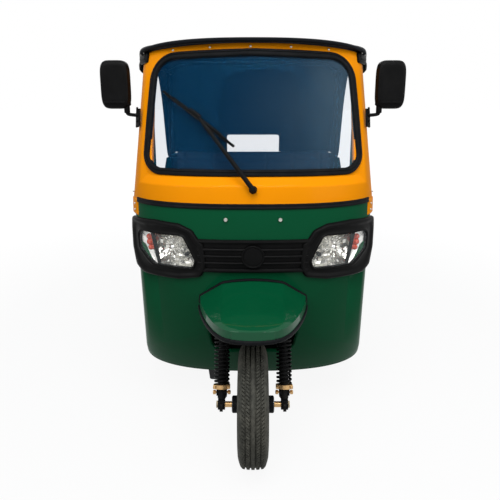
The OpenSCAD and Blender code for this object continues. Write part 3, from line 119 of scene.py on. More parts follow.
def skin_half(z):
    """Half width of the front skin at a height."""
    h = rise_share(z)
    skirt = np.clip((BULGE_Z - z) / (BULGE_Z - COWL_LOW_Z), 0.0, None)
    top = (1 + BULGE_SHARE - HEADER_SHARE) * h**4
    return COWL_HALF * (1 + SKIRT_SHARE * skirt + BULGE_SHARE * h - top)


def skin_front(z):
    """Foremost Y of the front skin at a height: one arc up to the sill, a shelf and a lean above it."""
    arc = PROFILE_R - np.sqrt(PROFILE_R**2 - (np.minimum(z, SILL_Z) - BULGE_Z) ** 2)
    shelf = SILL_RUN * np.clip((z - SILL_Z) / (SCREEN_LOW_Z - SILL_Z), 0.0, 1.0)
    return NOSE_Y + arc + shelf + np.clip(z - SCREEN_LOW_Z, 0.0, None) * SCREEN_LEAN


def skin(a, z):
    """Front skin at plan angle a in degrees and height z: half of a superellipse in plan."""
    c = power(np.cos(np.radians(a)), 2 / PLAN_POWER)
    s = power(np.sin(np.radians(a)), 2 / PLAN_POWER)
    x = skin_half(z) * c
    y = skin_front(z) + COWL_DEPTH * (1 - s)
    return np.stack([x, y, z - HEADER_CROWN * rise_share(z) * c * c], -1)


def skin_normal(a, z):
    """Outward unit normal of the front skin, from small steps along both parameters."""
    a = np.clip(a, 0.3, 179.7)
    da, dz = 0.1, 0.0008
    along = skin(a + da, z) - skin(a - da, z)
    up = skin(a, z + dz) - skin(a, z - dz)
    n = np.cross(up, along)
    return n / np.linalg.norm(n, axis=-1, keepdims=True)


def on_skin(az, h):
    """Points at plan angle and height az, lifted off the front skin by h along its normal."""
    a, z = az[..., 0], az[..., 1]
    return skin(a, z) + np.asarray(h)[..., None] * skin_normal(a, z)


def to_skin(xz):
    """Plan angle and height of the skin's point that shows at front view place x, z."""
    x, z = xz[..., 0], xz[..., 1]
    row = z
    for _ in range(5):
        u = np.clip(np.abs(x) / skin_half(row), 0.0, 1.0)
        row = z + HEADER_CROWN * rise_share(row) * u * u
    a = np.degrees(np.arccos(u ** (PLAN_POWER / 2)))
    return np.stack([np.where(x < 0, 180.0 - a, a), row], -1)


def rounded(points, radii, steps=8):
    """Closed outline whose corners are arcs of the given radii."""
    p = np.asarray(points, float)
    r = np.broadcast_to(np.asarray(radii, float), len(p))
    u, v = np.roll(p, 1, 0) - p, np.roll(p, -1, 0) - p
    u, v = (w / np.linalg.norm(w, axis=1, keepdims=True) for w in (u, v))
    half = np.arccos(np.clip((u * v).sum(1), -1, 1)) / 2
    mid = p + (u + v) / np.linalg.norm(u + v, axis=1, keepdims=True) * (r / np.sin(half))[:, None]
    a = p + u * (r / np.tan(half))[:, None] - mid
    b = p + v * (r / np.tan(half))[:, None] - mid
    start = np.arctan2(a[:, 1], a[:, 0])
    turn = (np.arctan2(b[:, 1], b[:, 0]) - start + np.pi) % (2 * np.pi) - np.pi
    t = start[:, None] + turn[:, None] * np.linspace(0, 1, steps)
    arcs = mid[:, None] + r[:, None, None] * np.stack([np.cos(t), np.sin(t)], -1)
    return arcs.reshape(-1, 2)


def along(path, n, closed=False):
    """n points at even steps along a path of points."""
    p = np.concatenate([path, path[:1]]) if closed else np.asarray(path, float)
    d = np.concatenate([[0], np.cumsum(np.linalg.norm(np.diff(p, axis=0), axis=1))])
    keep = np.concatenate([[True], np.diff(d) > 1e-9])
    s = np.linspace(0, d[-1], n, endpoint=not closed)
    return np.stack([np.interp(s, d[keep], p[keep, i]) for i in range(p.shape[1])], -1)


def polar(outline, centre, theta, stretch=1.0):
    """Points of a star-shaped outline in the directions theta from a centre."""
    dense = (along(outline, 1600, closed=True) - centre) * [1.0, stretch]
    t = np.arctan2(dense[:, 1], dense[:, 0])
    order = np.argsort(t)
    r = np.interp(theta, t[order], np.hypot(*dense[order].T), period=2 * np.pi)
    return np.stack([np.cos(theta), np.sin(theta) / stretch], -1) * r[:, None] + centre


def between(inner, outer, shares):
    """Grid of rows from an inner outline at share 0 to an outer outline at share 1."""
    t = np.asarray(shares)[:, None, None]
    return mix(inner[None], outer[None], t)


def tube(path, section, closed=False, up=(0.0, 0.0, 1.0), scale=None):
    """A section carried along a path: each ring is square to the path, its first axis level with up."""
    p = np.asarray(path, float)
    t = np.roll(p, -1, 0) - np.roll(p, 1, 0) if closed else np.gradient(p, axis=0)
    t = t / np.linalg.norm(t, axis=1, keepdims=True)
    e = np.cross(t, np.broadcast_to(up, p.shape))
    e = e / np.linalg.norm(e, axis=1, keepdims=True)
    f = np.cross(e, t)
    k = np.ones(len(p)) if scale is None else np.asarray(scale)
    q = np.asarray(section, float)[None] * k[:, None, None]
    return p[:, None] + q[..., :1] * e[:, None] + q[..., 1:] * f[:, None]


def circle(r, n=16, r2=None):
    """Closed round or oval section."""
    t = np.linspace(0, 2 * np.pi, n, endpoint=False)
    return np.stack([r * np.cos(t), (r2 or r) * np.sin(t)], -1)


def capped(rings):
    """Closes both ends of a tube by rows drawn in to their middles."""
    first, last = rings[:1].mean(1, keepdims=True), rings[-1:].mean(1, keepdims=True)
    spread = np.ones_like(rings[:1])
    return np.concatenate([first * spread, rings, last * spread])


def skin_strip(az, section, closed=False):
    """A section carried along a path on the front skin: across the path and out along the normal."""
    p, n = on_skin(az, np.zeros(len(az))), skin_normal(az[:, 0], az[:, 1])
    t = np.roll(p, -1, 0) - np.roll(p, 1, 0) if closed else np.gradient(p, axis=0)
    b = np.cross(n, t)
    b = b / np.linalg.norm(b, axis=1, keepdims=True)
    s = np.asarray(section, float)
    return p[:, None] + s[None, :, :1] * b[:, None] + s[None, :, 1:] * n[:, None]


def turned(profile, n, centre, axis="x"):
    """A profile of (radius, place along the axis) turned round an axis through a centre."""
    t = np.linspace(0, 2 * np.pi, n, endpoint=False)[:, None]
    r, s = np.asarray(profile, float).T
    a, b, c = r * np.cos(t), r * np.sin(t), s + 0 * t
    order = {"x": (c, a, b), "y": (a, c, b), "z": (a, b, c)}[axis]
    return np.stack(order, -1) + np.asarray(centre)


def facing(points, origin, axis):
    """Points made along +Z set at an origin with their Z along an axis."""
    w = np.asarray(axis, float) / np.linalg.norm(axis)
    side = np.array([1.0, 0, 0]) if abs(w[0]) < 0.9 else np.array([0, 1.0, 0])
    u = np.cross(side, w)
    u = u / np.linalg.norm(u)
    return points @ np.stack([u, np.cross(w, u), w]) + np.asarray(origin)


def raised(xz, lift):
    """Front view points set on the front skin and lifted off it along its normal."""
    return on_skin(to_skin(xz), np.broadcast_to(lift, xz.shape[:-1]))


def at_skin(x, z, grid):
    """A shape made along +Z set on the front skin at front view place x, z, along the skin's normal."""
    az = to_skin(np.array([[x, z]]))
    return facing(grid, on_skin(az, np.zeros(1))[0], skin_normal(az[:, 0], az[:, 1])[0])


def dome(r, h, n=14):
    """Domed head on a short skirt, turned about Z."""
    t = np.linspace(0, 1, 5) * np.pi / 2
    lid = np.stack([r * np.cos(t), h * (0.45 + 0.55 * np.sin(t))], -1)
    profile = np.concatenate([[[0.0, -h * 0.5], [r, -h * 0.5]], lid])
    return turned(profile, n, (0, 0, 0), "z")


def hexagon(r, h):
    """Hexagon head with chamfered corners, turned about Z in six steps."""
    profile = [(0.0, -h * 0.3), (r, -h * 0.3), (r, h * 0.85), (r * 0.86, h), (0.0, h)]
    return turned(profile, 6, (0, 0, 0), "z")


def mirrored(points):
    """The other side's copy of an array of points."""
    return points * np.array([-1.0, 1, 1])


# Meshes from arrays


def grid_faces(rows, cols, wrap_rows, wrap_cols):
    """Corner numbers of a grid's four-sided faces."""
    i = np.arange(rows if wrap_rows else rows - 1)[:, None]
    j = np.arange(cols if wrap_cols else cols - 1)[None]
    i1, j1 = (i + 1) % rows, (j + 1) % cols
    return np.stack(np.broadcast_arrays(i * cols + j, i * cols + j1, i1 * cols + j1, i1 * cols + j), -1)


def lengths(points, axis):
    """Running length along one axis of a grid, on average over the other."""
    step = np.linalg.norm(np.diff(points, axis=axis), axis=-1).mean(1 - axis)
    return np.concatenate([[0.0], np.cumsum(step)])


def piece(name, grids, finishes, replaces=(), body="body", sharp=38.0, solid=True):
    """One mesh piece from grids of points, in one named finish or in several.

    Each grid is (points, wrap rows, wrap columns, finish number, faces to keep or None).
    Doubles are merged, and the faces of a closed piece turned outwards.
    """
    finishes = [finishes] if isinstance(finishes, str) else finishes
    points, faces, finish, uvs, base = [], [], [], [], 0
    for p, wrap_rows, wrap_cols, number, keep in grids:
        rows, cols = p.shape[:2]
        f = grid_faces(rows, cols, wrap_rows, wrap_cols).reshape(-1, 4)
        if keep is not None:
            f = f[keep.reshape(-1)]
        uv = np.stack(np.meshgrid(lengths(p, 1), lengths(p, 0)), -1).reshape(-1, 2)
        points.append(p.reshape(-1, 3))
        uvs.append(uv[f])
        faces.append(f + base)
        finish.append(np.full(len(f), number))
        base += rows * cols
    points, faces = np.concatenate(points), np.concatenate(faces)
    mesh = bpy.data.meshes.new(name)
    mesh.vertices.add(len(points))
    mesh.vertices.foreach_set("co", points.astype(np.float32).ravel())
    mesh.loops.add(faces.size)
    mesh.loops.foreach_set("vertex_index", faces.astype(np.int32).ravel())
    mesh.polygons.add(len(faces))
    mesh.polygons.foreach_set("loop_start", np.arange(0, faces.size, 4, dtype=np.int32))
    mesh.polygons.foreach_set("material_index", np.concatenate(finish).astype(np.int32))
    mesh.update(calc_edges=True)
    layer = mesh.uv_layers.new(name="UVMap")
    layer.data.foreach_set("uv", np.concatenate(uvs).astype(np.float32).ravel())
    mesh.validate()
    work = bmesh.new()
    work.from_mesh(mesh)
    bmesh.ops.remove_doubles(work, verts=work.verts, dist=2e-6)
    bmesh.ops.dissolve_degenerate(work, edges=work.edges, dist=1e-7)
    if solid:
        bmesh.ops.recalc_face_normals(work, faces=work.faces)
    work.to_mesh(mesh)
    work.free()
    mesh.polygons.foreach_set("use_smooth", np.ones(len(mesh.polygons), bool))
    mesh.set_sharp_from_angle(angle=math.radians(sharp))
    for key in finishes:
        mesh.materials.append(FINISH[key])
    obj = bpy.data.objects.new(name, mesh)
    bpy.context.scene.collection.objects.link(obj)
    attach(obj, body)
    if replaces:
        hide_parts(*replaces)
    return obj


def wall(obj, thickness):
    """Gives an open sheet its thickness, inwards from its faces."""
    m = obj.modifiers.new("wall", "SOLIDIFY")
    m.thickness, m.offset, m.use_rim = thickness, -1.0, True
    return obj


def outward(obj, way):
    """Turns an open sheet's faces so that on average they look a given way."""
    normal = np.zeros(len(obj.data.polygons) * 3, np.float32)
    obj.data.polygons.foreach_get("normal", normal)
    if normal.reshape(-1, 3).mean(0) @ np.array(way, float) < 0:
        obj.data.flip_normals()
    return obj


def one(points, wrap_rows=False, wrap_cols=False, number=0, keep=None):
    """One grid's entry for piece()."""
    return (points, wrap_rows, wrap_cols, number, keep)


def closed_bar(rings, number=0):
    """Entry for piece(): a carried section with closed ends."""
    return one(capped(rings), wrap_cols=True, number=number)


def rod(path, r, n=14, number=0, up=(0.0, 0.0, 1.0), scale=None):
    """Entry for piece(): a round bar with closed ends."""
    return closed_bar(tube(path, circle(r, n), up=up, scale=scale), number)


def shell(outer, inner, wrap_cols=True, number=0):
    """Entries for piece(): two like grids joined round their end rows, and their end columns if open."""
    grids = [outer, inner] + [np.stack([outer[i], inner[i]]) for i in (0, -1)]
    made = [one(grid, wrap_cols=wrap_cols, number=number) for grid in grids]
    if not wrap_cols:
        made += [one(np.stack([outer[:, i], inner[:, i]]), number=number) for i in (0, -1)]
    return made


def both_sides(grids):
    """Entries for piece() with the other side's copies after them."""
    return grids + [(mirrored(grid[0]), *grid[1:]) for grid in grids]


# Finishes


class Finish:
    """A node material round one Principled shader."""

    def __init__(self, name, colour, roughness, metallic=0.0, **sockets):
        self.material = bpy.data.materials.new(name)
        self.material.use_nodes = True
        self.tree = self.material.node_tree
        self.shader = self.tree.nodes["Principled BSDF"]
        self.colour = tuple(colour)[:3]
        self.set("Base Color", (*self.colour, 1.0))
        self.set("Roughness", roughness)
        self.set("Metallic", metallic)
        for key, value in sockets.items():
            self.set(key.replace("_", " "), value)
        self.bumped = None

    def set(self, socket, value):
        """Sets one of the shader's sockets."""
        self.shader.inputs[socket].default_value = value

    def node(self, kind, **inputs):
        """Adds a node with constants on its sockets."""
        made = self.tree.nodes.new(kind)
        for key, value in inputs.items():
            made.inputs[key.replace("_", " ")].default_value = value
        return made

    def link(self, a, b):
        """Joins an output to an input."""
        self.tree.links.new(a, b)

    def place(self, output="Object", scale=(1.0, 1.0, 1.0), turn=(0.0, 0.0, 0.0), shift=(0.0, 0.0, 0.0)):
        """Coordinates through a Mapping node."""
        mapping = self.node("ShaderNodeMapping", Scale=scale, Rotation=turn, Location=shift)
        self.link(self.node("ShaderNodeTexCoord").outputs[output], mapping.inputs["Vector"])
        return mapping.outputs["Vector"]

    def noise(self, scale, detail=3.0, where=None, roughness=0.55):
        """Noise over the object's own coordinates."""
        made = self.node("ShaderNodeTexNoise", Scale=scale, Detail=detail, Roughness=roughness)
        self.link(where or self.place(), made.inputs["Vector"])
        return made.outputs["Fac"]

    def ramp(self, value, low, high, a=0.0, b=1.0):
        """Value from low to high spread over a to b, held at both ends."""
        made = self.node("ShaderNodeMapRange")
        made.inputs["From Min"].default_value = low
        made.inputs["From Max"].default_value = high
        made.inputs["To Min"].default_value = a
        made.inputs["To Max"].default_value = b
        self.link(value, made.inputs["Value"])
        return made.outputs["Result"]

    def math(self, kind, a, b):
        """Sum of two outputs or numbers by a Math node of a kind."""
        made = self.tree.nodes.new("ShaderNodeMath")
        made.operation = kind
        for socket, value in zip(made.inputs, (a, b)):
            if isinstance(value, (int, float)):
                socket.default_value = value
            else:
                self.link(value, socket)
        return made.outputs["Value"]

    def shade(self, factor, colour):
        """Mixes the base colour so far towards another by a factor's output."""
        made = self.tree.nodes.new("ShaderNodeMix")
        made.data_type = "RGBA"
        self.link(factor, made.inputs["Factor"])
        base = self.shader.inputs["Base Color"]
        if base.is_linked:
            self.link(base.links[0].from_socket, made.inputs["A"])
        else:
            made.inputs["A"].default_value = base.default_value
        made.inputs["B"].default_value = (*colour[:3], 1.0)
        self.link(made.outputs["Result"], base)
        return self

    def rough(self, factor, low, high):
        """Roughness from low to high by a factor's output."""
        self.link(self.ramp(factor, 0.3, 0.7, low, high), self.shader.inputs["Roughness"])
        return self

    def bump(self, height, strength, distance):
        """Bump on top of those made so far."""
        made = self.node("ShaderNodeBump", Strength=strength, Distance=distance)
        self.link(height, made.inputs["Height"])
        if self.bumped:
            self.link(self.bumped, made.inputs["Normal"])
        self.bumped = made.outputs["Normal"]
        self.link(self.bumped, self.shader.inputs["Normal"])
        return self

    def axis(self, letter, output="Object"):
        """One coordinate of a place."""
        made = self.node("ShaderNodeSeparateXYZ")
        self.link(self.place(output), made.inputs["Vector"])
        return made.outputs[letter]

    def dust(self, low, high, amount, colour=(0.30, 0.27, 0.21)):
        """Road dust that fades from height low up to high, broken up by noise."""
        fade = self.ramp(self.axis("Z"), low, high, 1.0, 0.0)
        patch = self.ramp(self.noise(9.0, 6.0), 0.35, 0.75)
        return self.shade(self.math("MULTIPLY", self.math("MULTIPLY", fade, patch), amount), colour)


def tint(colour, share):
    """A colour made darker by a share below 1 or lighter above it."""
    return tuple(min(1.0, c * share) for c in tuple(colour)[:3])


def paint(name, colour, gloss):
    """Gloss paint under a clear coat: slow colour drift, orange peel, road dust low down."""
    f = Finish(name, colour, 0.34, Coat_Weight=gloss, Coat_Roughness=0.05, Specular_IOR_Level=gloss / 6)
    f.shade(f.ramp(f.noise(2.2, 2.0), 0.35, 0.7, 0.0, 0.35), tint(colour, 0.82))
    f.bump(f.noise(420.0, 2.0), 0.025, 0.0006)
    return f.dust(0.18, 0.36, 0.03)


def satin_black(name, level=0.0030, grain=900.0):
    """Moulded or painted black: fine grain and uneven sheen."""
    f = Finish(name, (level, level, level * 1.06), 0.42, Specular_IOR_Level=0.06)
    f.shade(f.ramp(f.noise(14.0, 4.0), 0.4, 0.75, 0.0, 0.5), (level * 2.2, level * 2.2, level * 2.2))
    f.rough(f.noise(30.0, 4.0), 0.34, 0.52)
    return f.bump(f.noise(grain, 2.0), 0.12, 0.0004)


def rubber(name):
    """Black rubber: matt, with a grey bloom."""
    f = Finish(name, (0.0040, 0.0045, 0.0055), 0.55, Specular_IOR_Level=0.06)
    f.shade(f.ramp(f.noise(24.0, 5.0), 0.45, 0.8, 0.0, 0.5), (0.014, 0.014, 0.0135))
    return f.bump(f.noise(600.0, 3.0), 0.2, 0.0005)


def tyre_rubber(name):
    """Tyre rubber: warm grey where the tread has scuffed, dust in between, bump of the moulded skin."""
    f = Finish(name, (0.042, 0.042, 0.036), 0.72, Specular_IOR_Level=0.08)
    f.shade(f.ramp(f.noise(38.0, 6.0), 0.4, 0.72, 0.0, 0.8), (0.100, 0.098, 0.082))
    f.shade(f.ramp(f.noise(7.0, 3.0), 0.45, 0.8, 0.0, 0.35), (0.12, 0.11, 0.09))
    return f.bump(f.noise(420.0, 4.0), 0.35, 0.0008)


def canvas(name, colour):
    """Coated canvas: two crossing sets of threads along the cloth, faded patches."""
    f = Finish(name, colour, 0.66, Sheen_Weight=0.02, Specular_IOR_Level=0.05)
    f.shade(f.ramp(f.noise(3.0, 4.0), 0.4, 0.75, 0.0, 0.6), tint(colour, 2.0))
    thread = 0.0022
    turns = [f.math("MULTIPLY", f.axis(letter, "UV"), 2 * math.pi / thread) for letter in "XY"]
    f.bump(f.math("MAXIMUM", *(f.math("SINE", turn, 0.0) for turn in turns)), 0.35, 0.0005)
    return f.bump(f.noise(5.0, 3.0), 0.25, 0.01)


def vinyl(name, colour):
    """Seat vinyl: pebbled grain of rounded cells, soft sheen, worn patches."""
    f = Finish(name, colour, 0.46, Specular_IOR_Level=0.08)
    f.shade(f.ramp(f.noise(6.0, 4.0), 0.45, 0.8, 0.0, 0.5), tint(colour, 1.7))
    f.rough(f.noise(18.0, 3.0), 0.38, 0.56)
    cells = f.node("ShaderNodeTexVoronoi", Scale=520.0)
    f.link(f.place(), cells.inputs["Vector"])
    return f.bump(cells.outputs["Distance"], 0.3, 0.0008)


def metal(name, colour, roughness, grain=240.0, metallic=1.0):
    """Bare or plated metal with fine scratches and uneven polish."""
    f = Finish(name, colour, roughness, metallic)
    f.shade(f.ramp(f.noise(20.0, 5.0), 0.45, 0.8, 0.0, 0.5), tint(colour, 0.6))
    f.rough(f.noise(60.0, 4.0), roughness * 0.8, roughness * 1.35)
    return f.bump(f.noise(grain, 3.0), 0.12, 0.0004)


def lens(name, colour, alpha, roughness=0.06):
    """Clear or coloured moulding that lets light through: fine ripples in its face."""
    f = Finish(name, colour, roughness, Alpha=alpha, Specular_IOR_Level=0.6)
    f.shade(f.ramp(f.noise(4.0, 2.0), 0.4, 0.7, 0.0, 0.3), tint(colour, 0.85))
    return f.bump(f.noise(60.0, 1.0), 0.02, 0.001)


def screen_glass(name, colour):
    """Windscreen: deep blue, partly as film tint and partly as a painted reflection of blue sky, with a blue
    specular tint for that sky; a painted pale sky reflection, broken up by noise, grows towards the vehicle's
    left.
    """
    f = Finish(name, colour, 0.03, Alpha=0.13, Specular_IOR_Level=0.22,
               Specular_Tint=(0.10, 0.50, 1.0, 1.0))
    # Painted reflection: a pale sky reflection mixed into the colour, stronger towards the vehicle's left and
    # broken up by noise
    side = f.ramp(f.axis("X"), -0.30, 0.46)
    side = f.math("POWER", side, 2.8)
    reflection_patches = f.ramp(f.noise(3.0, 4.0), 0.35, 0.7, 0.4, 1.0)
    return f.shade(f.math("MULTIPLY", f.math("MULTIPLY", side, reflection_patches), 0.62), (0.50, 0.72, 0.82))


def deck(name, colour):
    """Painted steel deck with rows of pressed ribs along the vehicle."""
    f = Finish(name, colour, 0.55, Specular_IOR_Level=0.35)
    f.shade(f.ramp(f.noise(11.0, 5.0), 0.4, 0.75, 0.0, 0.6), (0.09, 0.085, 0.07))
    pitch = 0.03
    ribs = f.math("SINE", f.math("MULTIPLY", f.axis("X"), 2 * math.pi / pitch), 0.0)
    f.bump(ribs, 0.5, 0.002)
    return f.bump(f.noise(300.0, 3.0), 0.2, 0.0006)


FINISH = {}


class ThreeWheelerLooks(bpy.types.PropertyGroup):
    """Colours and sizes that a user would change."""

    green: bpy.props.FloatVectorProperty(
        name="Body green", description="Paint of the cowl, mudguard and rear body", subtype="COLOR",
        size=3, min=0.0, max=1.0, default=(0.0010, 0.064, 0.0235))
    yellow: bpy.props.FloatVectorProperty(
        name="Screen yellow", description="Paint of the windscreen frame", subtype="COLOR",
        size=3, min=0.0, max=1.0, default=(0.78, 0.255, 0.0012))
    # The glass colour is partly the film's tint and partly a painted reflection of blue sky
    glass: bpy.props.FloatVectorProperty(
        name="Glass tint and painted sky", description="Film on the windscreen", subtype="COLOR",
        size=3, min=0.0, max=1.0, default=(0.005, 0.075, 0.19))
    canvas: bpy.props.FloatVectorProperty(
        name="Hood canvas", description="Cloth of the hood", subtype="COLOR",
        size=3, min=0.0, max=1.0, default=(0.0042, 0.0050, 0.0068))
    seat: bpy.props.FloatVectorProperty(
        name="Seat vinyl", description="Cover of the seats", subtype="COLOR",
        size=3, min=0.0, max=1.0, default=(0.010, 0.014, 0.026))
    gasket_width: bpy.props.FloatProperty(
        name="Screen rubber", description="Width of the rubber round the windscreen", unit="LENGTH",
        min=0.015, max=0.04, default=0.029)
    screw_radius: bpy.props.FloatProperty(
        name="Screw head", description="Radius of the panel screws' heads", unit="LENGTH",
        min=0.003, max=0.01, default=0.0052)
    sipe_depth: bpy.props.FloatProperty(
        name="Sipe depth", description="Depth of the fine cuts across the tread", unit="LENGTH",
        min=0.0, max=0.006, default=0.0045)
    groove_depth: bpy.props.FloatProperty(
        name="Groove depth", description="Depth of the grooves round the tyre", unit="LENGTH",
        min=0.0, max=0.009, default=0.0065)
    spring_wire: bpy.props.FloatProperty(
        name="Spring wire", description="Diameter of the front springs' wire", unit="LENGTH",
        min=0.006, max=0.011, default=0.009)
    hood_sag: bpy.props.FloatProperty(
        name="Hood sag", description="Sag of the canvas between its bows", unit="LENGTH",
        min=0.0, max=0.03, default=0.010)
    seat_swell: bpy.props.FloatProperty(
        name="Seat swell", description="Furthest that a cushion's cover may swell", unit="LENGTH",
        min=0.0, max=0.03, default=0.016)


def looks():
    """The scene's settings for these looks."""
    return bpy.context.scene.three_wheeler_looks


class THREE_WHEELER_OT_finishes(bpy.types.Operator):
    """Makes the finishes and gives each node of the frame the one of its slot"""

    bl_idname = "three_wheeler.finishes"
    bl_label = "Finishes"

    def execute(self, context):
        look = looks()
        made = {
            "green_paint": paint("green gloss", look.green, 0.08),
            "yellow_paint": paint("yellow gloss", look.yellow, 0.05),
            "black_rubber": rubber("black rubber"),
            # Windscreen glass whose blue is partly film tint and partly painted sky reflection
            "tinted_glass": screen_glass("tinted screen", look.glass),
            "black_plastic": satin_black("black moulding"),
            "reflector": metal("bright reflector", (0.70, 0.69, 0.64), 0.16, 240.0, 0.85),
            "clear_glass": lens("clear lens", (0.85, 0.90, 0.92), 0.03),
            "bright_steel": metal("bright steel", (0.50, 0.49, 0.46), 0.30),
            "hood_canvas": canvas("hood canvas", look.canvas),
            "black_steel": satin_black("black steel", 0.006, 500.0).dust(0.10, 0.34, 0.12),
            "seat_vinyl": vinyl("seat vinyl", look.seat),
            "red_lens": lens("red lens", (0.45, 0.012, 0.010), 0.92, 0.12),
            "grey_case": satin_black("grey case", 0.10, 300.0),
            "cast_alloy": metal("cast alloy", (0.45, 0.46, 0.47), 0.5, 120.0),
            "gold_steel": metal("gold plating", (0.52, 0.33, 0.15), 0.34),
            "tyre_rubber": tyre_rubber("tyre rubber"),
            "wheel_silver": metal("wheel silver", (0.50, 0.51, 0.53), 0.42, 200.0, 0.75),
        }
        FINISH.update({slot: f.material for slot, f in made.items()})
        FINISH["mudguard_paint"] = paint("polished green", look.green, 0.38).material
        FINISH["dull_steel"] = metal("dull steel", (0.30, 0.25, 0.17), 0.42).material
        FINISH["deck"] = deck("ribbed deck", (0.022, 0.024, 0.026)).material
        FINISH["amber_lens"] = lens("amber lens", (0.62, 0.055, 0.014), 0.96).material
        FINISH["mirror_glass"] = metal("mirror glass", (0.8, 0.82, 0.84), 0.04).material
        FINISH["white_reflector"] = metal("pale reflector", (0.80, 0.79, 0.76), 0.22).material
        own = {"floor_pan": "deck", "front_axle": "dull_steel"}
        for part in frame["record"]["subparts"]:
            node = frame["nodes"][part["node"]]
            node.data.materials.clear()
            node.data.materials.append(FINISH[own.get(part["node"], part["material_slot"])])
        return {"FINISHED"}


class THREE_WHEELER_OT_stage(bpy.types.Operator):
    """Sets the floor, the light and the camera"""

    bl_idname = "three_wheeler.stage"
    bl_label = "Stage"

    def execute(self, context):
        scene = context.scene
        scene.view_settings.view_transform = "Standard"
        self.floor(scene)
        self.sky(scene)
        # Columns: lamp, side, watts, place, aim
        for name, size, power_w, place, aim in (
            ("key", 3.4, 112.0, (-2.6, -4.2, 4.4), (0.0, -0.6, 0.8)),
            ("fill", 3.6, 78.0, (3.4, -3.6, 3.0), (0.0, -0.6, 0.8)),
            ("back", 3.0, 80.0, (0.6, 4.2, 4.0), (0.0, 0.4, 0.8)),
            ("top", 1.8, 64.0, (0.1, -2.3, 3.6), (0.0, -1.15, 0.6)),
        ):
            light = bpy.data.lights.new(name, "AREA")
            light.size, light.energy = size, power_w
            lamp = bpy.data.objects.new(name, light)
            lamp.location = place
            way = Vector(aim) - Vector(place)
            lamp.rotation_euler = way.to_track_quat("-Z", "Y").to_euler()
            scene.collection.objects.link(lamp)
        camera = bpy.data.objects.new("camera", bpy.data.cameras.new("camera"))
        camera.location = (0.0, FRONT_AXLE[1] - 1.80, 1.43)
        camera.rotation_euler = (math.radians(76.0), 0.0, 0.0)
        camera.data.lens, camera.data.sensor_width = 36.58, 36.0
        camera.data.shift_x, camera.data.shift_y = -0.006, -0.052
        camera.data.clip_start, camera.data.clip_end = 0.05, 200.0
        scene.collection.objects.link(camera)
        scene.camera = camera
        return {"FINISHED"}

    def floor(self, scene):
        """A pale round floor: rings of points out to a wide radius."""
        r = np.concatenate([[0.0], np.geomspace(0.5, 60.0, 24)])
        grid = turned(np.stack([r, 0 * r], -1), 64, (0, 0, 0), "z")
        mesh = bpy.data.meshes.new("floor")
        faces = grid_faces(64, len(r), True, False).reshape(-1, 4).tolist()
        mesh.from_pydata(grid.reshape(-1, 3), [], faces)
        mesh.validate()
        pale = Finish("pale floor", (0.32, 0.32, 0.32), 0.9, Specular_IOR_Level=0.0)
        path = pale.node("ShaderNodeLightPath")
        far = pale.node("ShaderNodeVectorMath")
        far.operation = "LENGTH"
        pale.link(pale.place(), far.inputs[0])
        glow = pale.node("ShaderNodeEmission", Color=(1.0, 1.0, 1.0, 1.0))
        pale.link(pale.ramp(far.outputs["Value"], 1.6, 6.0, 1.14, 1.3), glow.inputs["Strength"])
        blend = pale.node("ShaderNodeMixShader")
        seen = pale.math("MAXIMUM", path.outputs["Is Camera Ray"], path.outputs["Is Transmission Ray"])
        seen = pale.math("MAXIMUM", seen, path.outputs["Is Glossy Ray"])
        pale.link(pale.math("MULTIPLY", seen, 0.8), blend.inputs["Fac"])
        pale.link(pale.shader.outputs["BSDF"], blend.inputs[1])
        pale.link(glow.outputs["Emission"], blend.inputs[2])
        pale.link(blend.outputs["Shader"], pale.tree.nodes["Material Output"].inputs["Surface"])
        mesh.materials.append(pale.material)
        floor = bpy.data.objects.new("floor", mesh)
        scene.collection.objects.link(floor)

    def sky(self, scene):
        """Even soft light, white to the camera, to mirrors and through glass."""
        world = bpy.data.worlds.new("studio")
        scene.world = world
        world.use_nodes = True
        nodes, links = world.node_tree.nodes, world.node_tree.links
        soft = nodes["Background"]
        soft.inputs["Color"].default_value = (0.90, 0.95, 1.0, 1.0)
        soft.inputs["Strength"].default_value = 0.38
        white = nodes.new("ShaderNodeBackground")
        white.inputs["Color"].default_value = (1.0, 1.0, 1.0, 1.0)
        white.inputs["Strength"].default_value = 1.0
        path = nodes.new("ShaderNodeLightPath")
        seen = nodes.new("ShaderNodeMath")
        seen.operation = "MAXIMUM"
        through = nodes.new("ShaderNodeMath")
        through.operation = "MAXIMUM"
        links.new(path.outputs["Is Glossy Ray"], through.inputs[0])
        links.new(path.outputs["Is Transmission Ray"], through.inputs[1])
        links.new(path.outputs["Is Camera Ray"], seen.inputs[0])
        links.new(through.outputs["Value"], seen.inputs[1])
        blend = nodes.new("ShaderNodeMixShader")
        links.new(seen.outputs["Value"], blend.inputs["Fac"])
        links.new(soft.outputs["Background"], blend.inputs[1])
        links.new(white.outputs["Background"], blend.inputs[2])
        links.new(blend.outputs["Shader"], nodes["World Output"].inputs["Surface"])


# Outlines in the front view


def screen_outline(inset):
    """Windscreen opening, smaller by an inset: a trapezium with an arched top and round corners."""
    b, t = SCREEN_LOW_HALF - inset, SCREEN_TOP_HALF - inset
    low, high = SCREEN_LOW_Z + inset, SCREEN_TOP_Z - inset
    arch, arch_r = 0.014, 0.72
    low_r, top_r = 0.078 - inset, 0.120 - inset
    points = [(-b, low), (b, low), (t, high - arch), (0.0, high), (-t, high - arch)]
    return rounded(points, [low_r, low_r, top_r, arch_r, top_r], 14)


LAMP_X, LAMP_Z, LAMP_W, LAMP_H = 0.236, 0.821, 0.242, 0.130


def lamp_outline(margin):
    """Lamp glass on the vehicle's left, larger by a margin: a slanted leaf with round corners."""
    a, b = LAMP_X - margin, LAMP_X + LAMP_W + margin
    low, high = LAMP_Z - LAMP_H / 2 - margin, LAMP_Z + LAMP_H / 2 + margin
    r = 0.024 + margin
    points = [(b, high), (a + LAMP_W * 0.20, high), (a, mix(low, high, 0.24)), (a + r / 2, low),
              (b - LAMP_W * 0.30, low), (b - r / 4, mix(low, high, 0.4))]
    return rounded(points, [r, r, r, r / 2, r, r])


